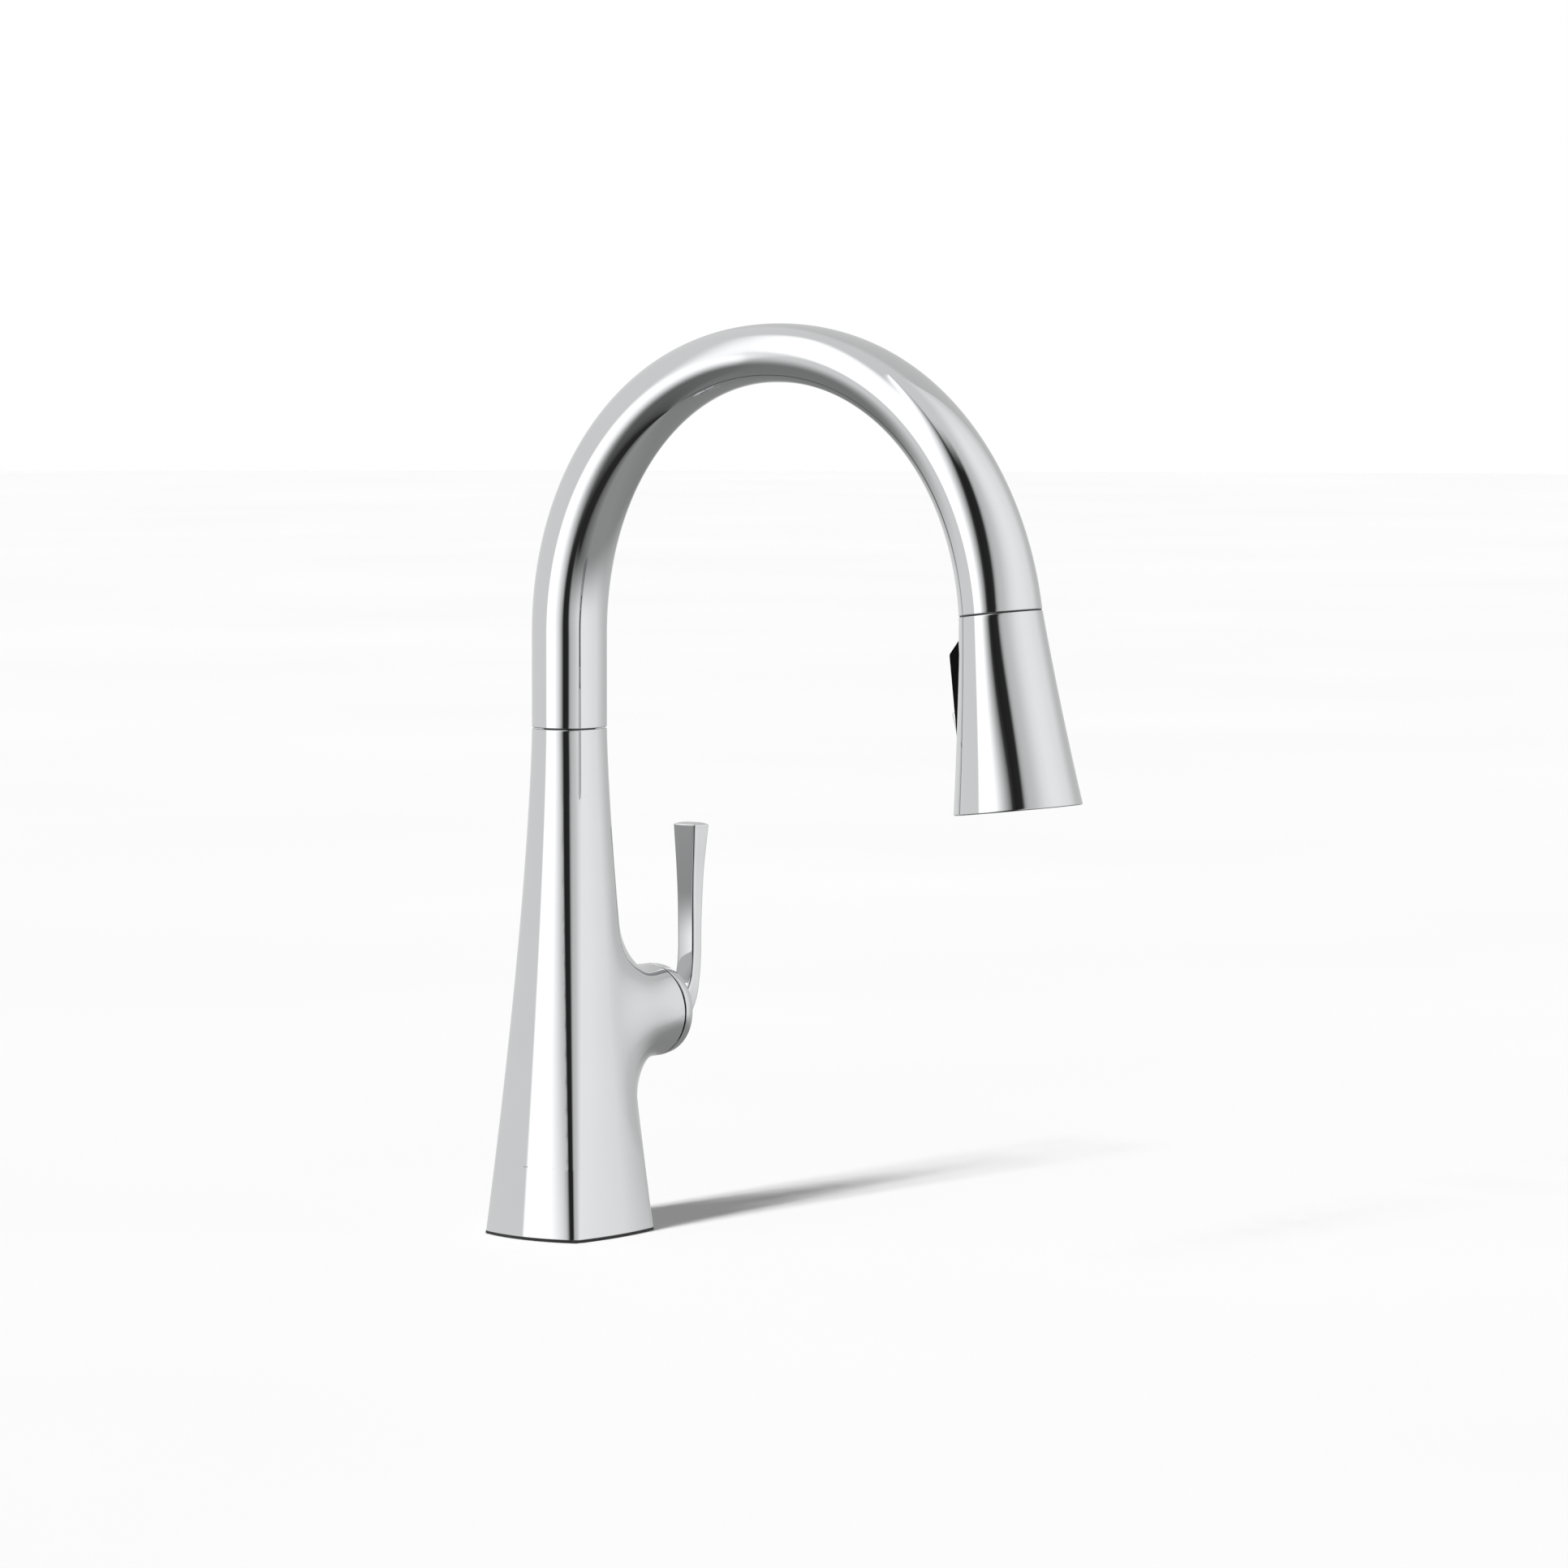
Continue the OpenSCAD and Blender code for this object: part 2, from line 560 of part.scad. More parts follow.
column_shell();
deck_gasket();
mounting_shank();
rubber_washer();
backing_plate();
mounting_nut();
clamp_screws();
valve_manifold();
hot_riser();
cold_riser();
outlet_riser();
cartridge_seat();
port_seals();
cartridge_base();
fixed_disc();
cartridge_housing();
cartridge_nut();
glide_ring();
hose_end_fitting();
spout_tube();
swivel_sleeve();
swivel_o_rings();
retaining_ring();
dock_collar();
dock_magnet();
spray_hose();
stem_carrier();
stem_pin();
dome_cap();
moving_disc();
handle_lever();
cartridge_stem();
set_screw();
index_plug();
hose_ball();
head_shell();
head_neck();
ball_retainer();
head_core();
diverter_spool();
check_valve();
button_bezel();
button_springs();
face_ring();
spray_face();
spray_nozzles();
aerator();
aerator_seal();
spray_button();
pause_button();
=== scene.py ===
"""Looks of a pull-down kitchen faucet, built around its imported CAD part.

Lengths in the shape functions are millimetres; to_mesh() turns them into metres.
"""

import json
import math

import bpy
import numpy as np
from mathutils import Matrix, Vector

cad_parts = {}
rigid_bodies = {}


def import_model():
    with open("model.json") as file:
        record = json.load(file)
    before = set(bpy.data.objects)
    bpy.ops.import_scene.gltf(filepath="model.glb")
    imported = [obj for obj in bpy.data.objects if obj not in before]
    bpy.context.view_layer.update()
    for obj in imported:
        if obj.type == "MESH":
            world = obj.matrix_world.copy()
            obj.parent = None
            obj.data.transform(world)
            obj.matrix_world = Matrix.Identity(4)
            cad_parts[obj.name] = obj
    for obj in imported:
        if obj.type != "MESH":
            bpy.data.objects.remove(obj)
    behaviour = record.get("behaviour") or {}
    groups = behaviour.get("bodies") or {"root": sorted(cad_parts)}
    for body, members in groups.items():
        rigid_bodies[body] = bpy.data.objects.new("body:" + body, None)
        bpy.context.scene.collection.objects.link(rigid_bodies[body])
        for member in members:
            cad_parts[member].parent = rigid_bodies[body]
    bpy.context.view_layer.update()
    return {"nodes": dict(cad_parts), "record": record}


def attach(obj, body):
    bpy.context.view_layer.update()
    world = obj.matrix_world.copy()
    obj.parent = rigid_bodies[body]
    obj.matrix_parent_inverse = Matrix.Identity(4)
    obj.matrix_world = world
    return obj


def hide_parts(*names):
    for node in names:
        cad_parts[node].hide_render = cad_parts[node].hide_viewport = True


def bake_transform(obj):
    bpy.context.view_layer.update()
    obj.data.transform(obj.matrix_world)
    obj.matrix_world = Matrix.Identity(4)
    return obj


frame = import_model()
NODES = frame["nodes"]
MM = 0.001

# Dimensions shared with the CAD part, in millimetres
SEAM_Z, SEAM_A = 236.9, 12.85  # the turning joint: its height, half its section's width
BASE_AX, BASE_AY, FLARE = 29.4, 28.0, 1.42  # half the base, and how late the column widens
ARCH_Z, ARCH_RY, ARCH_RZ = 280.0, 124.3, 132.1  # where the arch starts, and its two radii
ARCH_FILL, ARCH_END = 2.06, math.radians(172.1)  # its fullness and the angle it ends at
MID_A, OUTLET_R, SPOUT_BORE = 10.85, 18.6, 11.2  # half the section at the top, end and bore
HEAD_L, HEAD_R, HEAD_WALL = 87.6, 28.8, 2.2
PAD_W, PAD_H = 8.0, 25.2
BOSS_Z, BOSS_R, BOSS_X, BOSS_TAPER = 99.5, 22.0, 59.2, 0.03
PIVOT_X, HUB_X, HUB_SEAT_R = 38.0, 60.1, 31.16  # tilting axis, hub's rim, seat about the axis
LEVER_H = 86.5  # from the boss's axis to the lever's tip
GASKET_T, GAP = 1.3, 0.5  # the gap is the seam left open between two bodies
HOSE_R, HOSE_LOW = 5.25, -68.0  # the hose's lower end is at its fitting below the deck
ROUND_K = math.sqrt(2) - 1  # bow of a side that makes a section round


def arch_point(a):
    """The arch's centre line at angle a as (y, z), with its direction."""
    def at(t):
        q = (np.abs(np.cos(t)) ** ARCH_FILL + np.abs(np.sin(t)) ** ARCH_FILL) ** (-1 / ARCH_FILL)
        return np.array([-ARCH_RY * (1 - q * np.cos(t)), ARCH_Z + ARCH_RZ * q * np.sin(t)])
    way = at(a + 1e-3) - at(a - 1e-3)
    return (*at(a), *(way / np.linalg.norm(way)))


END_Y, END_Z, _wy, _wz = arch_point(ARCH_END)
TILT = math.atan2(-_wy, -_wz)
HEAD_ORIGIN = np.array([0.0, END_Y, END_Z])
HEAD_AXES = np.array([[1, 0, 0], [0, -math.cos(TILT), math.sin(TILT)],
                      [0, -math.sin(TILT), -math.cos(TILT)]])


def mix(a, b, t):
    return a + (b - a) * t


def smoothstep(t):
    t = np.clip(t, 0, 1)
    return t * t * (3 - 2 * t)


def unit(v):
    return v / np.maximum(np.linalg.norm(v, axis=-1, keepdims=True), 1e-12)


# ---------------------------------------------------------------- meshes

def area_normals(verts, faces):
    """Vertex normals weighted by face area, which keep flat faces flat beside small fillets."""
    normals = np.zeros_like(verts)
    for size in (3, 4):
        f = np.array([q for q in faces if len(q) == size])
        if not len(f):
            continue
        d1, d2 = verts[f[:, 2]] - verts[f[:, 0]], verts[f[:, size - 1]] - verts[f[:, 1]]
        n = np.cross(d1, d2) if size == 4 else np.cross(verts[f[:, 1]] - verts[f[:, 0]], d1)
        for k in range(size):
            np.add.at(normals, f[:, k], n)
    for q in (q for q in faces if len(q) > 4):
        p = verts[list(q)]
        n = np.cross(p - p.mean(0), np.roll(p, -1, 0) - p.mean(0)).sum(0)
        normals[list(q)] += n
    return unit(normals)


def smooth_object(name, verts, faces, material):
    """A new smooth object from vertices in millimetres."""
    mesh = bpy.data.meshes.new(name)
    mesh.from_pydata((verts * MM).tolist(), [], [list(map(int, f)) for f in faces])
    mesh.polygons.foreach_set("use_smooth", np.ones(len(mesh.polygons), bool))
    mesh.materials.append(material)
    piece = bpy.data.objects.new(name, mesh)
    bpy.context.scene.collection.objects.link(piece)
    return piece


def to_mesh(name, verts, faces, material, body, replaces=(), normals=None):
    """A piece of the faucet from vertices in millimetres, riding on a CAD body."""
    verts = np.asarray(verts, float)
    piece = smooth_object(name, verts, faces, material)
    if normals is None:
        normals = area_normals(verts, faces)
    piece.data.normals_split_custom_set_from_vertices(normals.tolist())
    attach(piece, body)
    if replaces:
        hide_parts(*replaces)
    return piece


def grid_faces(m, n, loop=False):
    """Quads between m rings of n points each; loop joins the last ring to the first."""
    i, j = np.meshgrid(np.arange(m if loop else m - 1), np.arange(n), indexing="ij")
    a, b = i * n + j, (i + 1) % m * n + j
    c, d = (i + 1) % m * n + (j + 1) % n, i * n + (j + 1) % n
    return np.stack([a, d, c, b], -1).reshape(-1, 4).tolist()


def outward(verts, faces):
    """The same faces, turned so that the closed surface encloses a positive volume."""
    volume = 0.0
    for size in sorted({len(q) for q in faces}):
        p = np.asarray(verts)[np.array([q for q in faces if len(q) == size])]
        for k in range(1, size - 1):
            volume += np.einsum("ij,ij->i", p[:, 0], np.cross(p[:, k], p[:, k + 1])).sum()
    return faces if volume > 0 else [list(q)[::-1] for q in faces]


def turned_points(profile, n):
    """Rings of n points about +Z, one for each (r, z) of an outline."""
    profile = np.asarray(profile, float)
    a = np.linspace(0, 2 * math.pi, n, endpoint=False)
    return np.stack([profile[:, :1] * np.cos(a), profile[:, :1] * np.sin(a),
                     np.repeat(profile[:, 1:], n, 1)], -1).reshape(-1, 3)


def lathe(profile, n):
    """A closed solid turned about +Z from an open (r, z) outline that starts and ends on the axis.
    The outline runs up the outside; the two axis points become single vertices."""
    verts = turned_points(profile[1:-1], n)
    low, high, top = len(verts), len(verts) + 1, len(verts) - n
    verts = np.vstack([verts, [0, 0, profile[0][1]], [0, 0, profile[-1][1]]])
    faces = grid_faces(len(profile) - 2, n)
    faces += [[low, (j + 1) % n, j] for j in range(n)]
    faces += [[high, top + j, top + (j + 1) % n] for j in range(n)]
    return verts, faces


def turned_ring(profile, n):
    """A closed ring turned about +Z from a closed (r, z) outline."""
    return turned_points(profile, n), grid_faces(len(profile), n, loop=True)


def head_to_world(v):
    """From the spray head's own frame, whose third axis is the way it pulls out."""
    return HEAD_ORIGIN + np.asarray(v, float) @ HEAD_AXES


def boss_to_world(v):
    """From a frame whose third axis runs along the boss, +X."""
    v = np.asarray(v, float)
    return np.stack([v[:, 2], v[:, 1], BOSS_Z - v[:, 0]], -1)


def gradient(f, p, step=0.01):
    out = np.empty_like(p)
    for k in range(3):
        d = np.zeros(3)
        d[k] = step
        out[:, k] = (f(*(p + d).T) - f(*(p - d).T)) / (2 * step)
    return out


def surface_net(f, low, high, step):
    """Quads on the surface f = 0 inside a box, with exact vertices and normals.
    The surface may run out through the box's sides, where it is left open."""
    axes = [np.arange(a, b + step, step) for a, b in zip(low, high)]
    x, y, z = np.meshgrid(*axes, indexing="ij")
    values = f(x, y, z)
    inside = values < 0
    shape = np.array(values.shape) - 1
    total = np.zeros(shape)
    point = np.zeros((*shape, 3))
    count = np.zeros(shape)
    corners = [(i, j, k) for i in (0, 1) for j in (0, 1) for k in (0, 1)]

    def corner(a, c):
        return a[c[0]:c[0] + shape[0], c[1]:c[1] + shape[1], c[2]:c[2] + shape[2]]

    for c in corners:
        total += corner(inside, c)
        for k in range(3):
            if c[k]:
                continue
            e = tuple(v + (i == k) for i, v in enumerate(c))
            v0, v1 = corner(values, c), corner(values, e)
            cut = (v0 < 0) != (v1 < 0)
            t = np.where(cut, v0 / np.where(cut, v0 - v1, 1), 0)
            for i in range(3):
                point[..., i] += np.where(cut, c[i] + (t if i == k else 0), 0)
            count += cut
    used = (total > 0) & (total < 8)
    index = np.full(shape, -1)
    index[used] = np.arange(used.sum())
    cells = np.argwhere(used)
    verts = np.array(low) + (cells + point[used] / count[used][:, None]) * step
    faces = []
    for k in range(3):
        a, b = (k + 1) % 3, (k + 2) % 3
        lo = np.take(inside, range(inside.shape[k] - 1), k)
        hi = np.take(inside, range(1, inside.shape[k]), k)
        edges = np.argwhere(lo != hi)
        ok = (edges[:, a] > 0) & (edges[:, b] > 0)
        ok &= (edges[:, a] < shape[a]) & (edges[:, b] < shape[b])
        edges = edges[ok]
        quad = []
        for da, db in ((-1, -1), (0, -1), (0, 0), (-1, 0)):
            cell = edges.copy()
            cell[:, a] += da
            cell[:, b] += db
            quad.append(index[tuple(cell.T)])
        quad = np.stack(quad, 1)
        out = lo[tuple(edges.T)]
        quad[~out] = quad[~out][:, ::-1]
        faces.append(quad)
    faces = np.concatenate(faces)
    for _ in range(6):
        g = gradient(f, verts)
        move = (f(*verts.T) / np.maximum((g * g).sum(1), 0.05))[:, None] * g
        verts -= np.clip(move, -step, step)
    return verts, faces.tolist()


def open_loops(faces):
    """Ordered boundary loops of a mesh, each in the direction of its faces."""
    edges = {}
    for q in faces:
        for a, b in zip(q, q[1:] + q[:1]):
            edges[(a, b)] = edges.get((a, b), 0) + 1
    after = {a: b for a, b in edges if (b, a) not in edges}
    loops = []
    while after:
        start, at = next(iter(after.items()))
        loop = [start]
        del after[start]
        while at != start:
            loop.append(at)
            at = after.pop(at)
        loops.append(loop)
    return loops


def zip_rings(verts, ring_a, ring_b, key):
    """Triangles between two closed rings of vertex numbers, matched by the angle key."""
    def sorted_ring(ring):
        angles = np.array([key(verts[v]) for v in ring])
        k = int(np.argmin(angles))
        ring, angles = ring[k:] + ring[:k], np.roll(angles, -k)
        if np.sum(np.diff(angles) < 0) > len(ring) / 2:
            ring, angles = [ring[0]] + ring[:0:-1], np.concatenate([angles[:1], angles[:0:-1]])
        return ring, angles
    (a, ka), (b, kb) = sorted_ring(ring_a), sorted_ring(ring_b)
    i = j = 0
    faces = []
    while i < len(a) or j < len(b):
        next_a = ka[i + 1] if i + 1 < len(a) else ka[0] + 2 * math.pi
        next_b = kb[j + 1] if j + 1 < len(b) else kb[0] + 2 * math.pi
        if j >= len(b) or (i < len(a) and next_a <= next_b):
            faces.append([a[i % len(a)], a[(i + 1) % len(a)], b[j % len(b)]])
            i += 1
        else:
            faces.append([a[i % len(a)], b[(j + 1) % len(b)], b[j % len(b)]])
            j += 1
    return faces


# ---------------------------------------------------------------- sections

def section(x, y, ax, ay, kx, ky, r):
    """Distance from a square with bowed sides and corner radius r. kx bows the left and right
    sides, ky the front and back; with both at ROUND_K and r 0 it is a circle."""
    x, y = np.abs(x), np.abs(y)
    bx, by = kx * ay, ky * ax
    rx, ry = (ay * ay + bx * bx) / (2 * bx), (ax * ax + by * by) / (2 * by)
    dx = np.hypot(x - (ax + bx - rx), y) - rx
    dy = np.hypot(x, y - (ay + by - ry)) - ry
    return np.minimum(-r, np.maximum(dx, dy)) + np.hypot(np.maximum(r + dx, 0),
                                                         np.maximum(r + dy, 0))


RING = 128
_t = np.linspace(-1, 1, RING // 4, endpoint=False)
ANGLES = np.concatenate([math.pi / 2 * k + math.pi / 4 * (1.4 * _t - 0.4 * _t ** 3)
                         for k in range(4)])


def ring_radius(params, angles=ANGLES):
    """Distance from the centre to the section in each direction, for rows of section params."""
    p = [np.atleast_1d(np.asarray(v, float))[:, None] for v in params]
    c, s = np.cos(angles)[None], np.sin(angles)[None]
    low, high = np.zeros((len(p[0]), len(angles))), np.full((len(p[0]), len(angles)), 60.0)
    for _ in range(44):
        mid = (low + high) / 2
        out = section(mid * c, mid * s, *p) > 0
        low, high = np.where(out, low, mid), np.where(out, mid, high)
    return (low + high) / 2


def column_params(z):
    u = np.clip((SEAM_Z - z) / SEAM_Z, 0, 1) ** FLARE
    return (mix(SEAM_A * 1.04, BASE_AX, u), mix(SEAM_A, BASE_AY, u), mix(0.3, 0.21, u),
            mix(0.22, 0.1, u), np.full_like(u, 3.0))


def spout_params(u):
    size = np.where(u < 0.5, mix(MID_A, SEAM_A, np.maximum(np.cos(np.pi * u), 0) ** 1.6),
                    mix(MID_A, OUTLET_R / math.sqrt(2), np.maximum(2 * u - 1, 0) ** 2))
    w = smoothstep((u - 0.55) / 0.42)
    corner = mix(3.0, 2.0, smoothstep(u / 0.35)) * (1 - w) ** 0.7
    return (size * mix(1.04, 1, w), size, mix(0.3, ROUND_K, w), mix(0.22, ROUND_K, w), corner)


# ---------------------------------------------------------------- column with its boss

def column_field(x, y, z):
    return section(x, y, *column_params(z))


def boss_radius(x):
    return BOSS_R + BOSS_TAPER * (BOSS_X - x) - 0.012 * np.maximum(34 - x, 0) ** 2


def body_field(x, y, z):
    """Column and boss, blended by a rolling ball that is largest beside the boss."""
    a = column_field(x, y, z)
    radial = np.maximum(np.hypot(y, z - BOSS_Z), 1e-6)
    b = radial - boss_radius(x)
    e = 0.02
    ga = [(column_field(x + e, y, z) - column_field(x - e, y, z)) / (2 * e),
          (column_field(x, y + e, z) - column_field(x, y - e, z)) / (2 * e),
          (column_field(x, y, z + e) - column_field(x, y, z - e)) / (2 * e)]
    norm = np.sqrt(ga[0] ** 2 + ga[1] ** 2 + ga[2] ** 2)
    a = a / np.maximum(norm, 0.5)
    g = (ga[1] * y / radial + ga[2] * (z - BOSS_Z) / radial) / np.maximum(norm, 0.5)
    g = np.clip(g, -0.9, 0.999)
    side = mix(30.0, 46.0, smoothstep((z - BOSS_Z + 14) / 28))
    ball = mix(18.0, side, smoothstep(np.abs(y) / 20))
    ra, rb = ball - a, ball - b
    alpha, beta = ra - g * rb, rb - g * ra
    reach = np.sqrt(np.maximum(ra * ra + rb * rb - 2 * g * ra * rb, 0) / (1 - g * g))
    # Left of the axis the boss has ended inside the column
    blended = np.where((alpha > 0) & (beta > 0), ball - reach, np.minimum(a, b))
    return np.where(x > 0, blended, a)


def polished(verts, faces, normals):
    """Evens out the normals beside the boss, where the surface is one smooth sweep."""
    # Above the boss no normal leans back to the left
    high = (verts[:, 0] > 12) & (verts[:, 2] > BOSS_Z + 8)
    normals = normals.copy()
    normals[high, 0] = np.maximum(normals[high, 0], 0)
    quads = np.array([q if len(q) == 4 else [*q, q[0]] for q in faces])
    ends = np.vstack([quads[:, [k, (k + 1) % 4]] for k in range(4)])
    ends = np.unique(np.sort(ends[ends[:, 0] != ends[:, 1]], axis=1), axis=0)
    a, b = np.r_[ends[:, 0], ends[:, 1]], np.r_[ends[:, 1], ends[:, 0]]
    count = np.maximum(np.bincount(a, minlength=len(verts)), 1)
    share = smoothstep((verts[:, 0] - 2) / 12) * smoothstep((56 - verts[:, 0]) / 8)
    share *= smoothstep((66 - np.abs(verts[:, 2] - BOSS_Z)) / 30)
    for _ in range(260):
        mean = np.stack([np.bincount(a, normals[b, k], len(verts)) for k in range(3)], -1)
        normals = unit(mix(normals, mean / count[:, None], 0.8 * share[:, None]))
    return normals


def make_column(material):
    """The column's skin: an exact net round the boss, joined to lofted rings above and below."""
    z_low, z_high, x_cut, step, deep = 34.0, 206.0, 56.5, 1.0, 28
    verts, faces = surface_net(body_field, (-36, -deep, z_low - step),
                               (x_cut + step, deep, z_high + step), step)
    loops = open_loops(faces)
    keep = np.unique(np.array(faces))
    kinds = {}
    for loop in loops:
        p = verts[loop]
        if p[:, 0].min() > x_cut - 3:
            kinds["boss"] = loop
            verts[loop, 0] = x_cut
            r = np.hypot(verts[loop, 1], verts[loop, 2] - BOSS_Z)
            scale = boss_radius(x_cut) / r
            verts[loop, 1] *= scale
            verts[loop, 2] = BOSS_Z + (verts[loop, 2] - BOSS_Z) * scale
        else:
            z = z_high if p[:, 2].mean() > 120 else z_low
            kinds["top" if z == z_high else "bottom"] = loop
            angle = np.arctan2(p[:, 1], p[:, 0])
            radius = ring_radius(column_params(np.array([z])), angle)[0]
            verts[loop] = np.stack([radius * np.cos(angle), radius * np.sin(angle),
                                    np.full(len(loop), z)], -1)
    normals = unit(gradient(body_field, verts))
    renumber = np.full(len(verts), -1)
    renumber[keep] = np.arange(len(keep))
    verts, normals = verts[keep], normals[keep]
    faces = renumber[np.array(faces)].tolist()
    kinds = {k: renumber[np.array(v)].tolist() for k, v in kinds.items()}
    normals = polished(verts, faces, normals)

    def plan_angle(p):
        return math.atan2(p[1], p[0])

    def boss_angle(p):
        return math.atan2(p[2] - BOSS_Z, p[1])

    def add_rings(rings, first, key, away):
        """Adds rings of points, joins the first of them to an open loop and caps the last. Faces
        are turned to look the way that away() gives for a point."""
        nonlocal verts, normals
        start = len(verts)
        n = rings.shape[1]
        flat = rings.reshape(-1, 3)
        strip = grid_faces(len(rings), n)
        nrm = area_normals(flat, strip)
        if np.einsum("ij,ij->i", nrm[:n], away(flat[:n])).mean() < 0:
            strip = [q[::-1] for q in strip]
            nrm = -nrm
        centre = rings[-1].mean(0)
        verts = np.vstack([verts, flat, centre])
        normals = np.vstack([normals, nrm, [0, 0, 0]])
        faces.extend([[k + start for k in q] for q in strip])
        last, tip = start + (len(rings) - 1) * n, len(verts) - 1
        quad = strip[-1]
        forward = any((quad[i], quad[(i + 1) % 4]) == (last - start + n - 1, last - start)
                      for i in range(4))
        cap = [[last + j, last + (j + 1) % n, tip] for j in range(n)]
        cap = [q[::-1] for q in cap] if forward else cap
        faces.extend(cap)
        a, b, c = (verts[k] for k in cap[0])
        normals[tip] = unit(np.cross(b - a, c - a))
        seam = zip_rings(verts, first, list(range(start, start + n)), key)
        a, b, c = (verts[[q[k] for q in seam]] for k in range(3))
        if np.einsum("ij,ij->i", np.cross(b - a, c - a), away((a + b + c) / 3)).mean() < 0:
            seam = [q[::-1] for q in seam]
        faces.extend(seam)

    def plan_rings(zs):
        radius = ring_radius(column_params(np.array(zs)))
        c, s = np.cos(ANGLES), np.sin(ANGLES)
        return [np.stack([r * c, r * s, np.full(RING, z)], -1) for r, z in zip(radius, zs)]

    def inset(z, ring_z, amount):
        ring = plan_rings([ring_z])[0]
        scale = 1 - amount / np.hypot(ring[:, 0], ring[:, 1])
        ring[:, :2] *= scale[:, None]
        ring[:, 2] = z
        return ring

    def circle(r, z):
        return np.stack([r * np.cos(ANGLES), r * np.sin(ANGLES), np.full(RING, z)], -1)

    # Upwards to the turning joint, over its edge and down the bore
    top, low = SEAM_Z - GAP / 2, GASKET_T
    edge = 0.45
    turns = np.radians([22, 45, 68, 90])
    rings = plan_rings(np.linspace(z_high + 1.2, top - edge, 26))
    rings += [inset(top - edge * (1 - math.sin(a)), top, edge * (1 - math.cos(a))) for a in turns]
    rings += [circle(13.4, top), circle(13.2, top - 0.2), circle(13.2, top - 3.9),
              circle(12.3, top - 4.0), circle(12.05, top - 4.2), circle(12.05, top - 14)]
    add_rings(np.array(rings), kinds["top"], plan_angle, lambda p: p * [1, 1, 0])

    # Downwards to the gasket
    rings = plan_rings(np.linspace(z_low - 1.2, low + edge, 26))
    rings += [inset(low + edge * (1 - math.sin(a)), low, edge * (1 - math.cos(a))) for a in turns]
    rings += [circle(21.3, low), circle(21, low + 0.3), circle(21, low + 4.5)]
    add_rings(np.array(rings), kinds["bottom"], plan_angle, lambda p: p * [1, 1, 0])

    # Outwards to the end of the boss
    sides = 120
    a = np.linspace(0, 2 * math.pi, sides, endpoint=False)
    outline = [(boss_radius(x), x) for x in np.linspace(x_cut + 0.8, BOSS_X - edge, 4)]
    outline += [(BOSS_R - edge * (1 - math.cos(t)), BOSS_X - edge * (1 - math.sin(t)))
                for t in turns]
    outline += [(18.0, BOSS_X), (17.6, BOSS_X - 0.4), (17.6, BOSS_X - 20)]
    rings = [np.stack([np.full(sides, x), r * np.cos(a), BOSS_Z + r * np.sin(a)], -1)
             for r, x in outline]
    add_rings(np.array(rings), kinds["boss"], boss_angle,
              lambda p: (p - [0, 0, BOSS_Z]) * [0, 1, 1])
    return to_mesh("column_body", verts, faces, material, "column", ["column_shell"],
                   normals=unit(normals))


# ---------------------------------------------------------------- spout

def soft_corner(azimuth):
    """How far the surface turns ahead of a plain round at an azimuth about the spray head."""
    rise = smoothstep((azimuth - math.radians(168)) / math.radians(46))
    fall = smoothstep((azimuth - math.radians(214)) / math.radians(80))
    return math.radians(14) * rise * (1 - fall)


def turned(vectors, axes, angles):
    """Vectors turned about unit axes by angles, row by row."""
    c, s = np.cos(angles)[:, None], np.sin(angles)[:, None]
    along = np.einsum("ij,ij->i", vectors, axes)[:, None]
    return vectors * c + np.cross(axes, vectors) * s + axes * along * (1 - c)


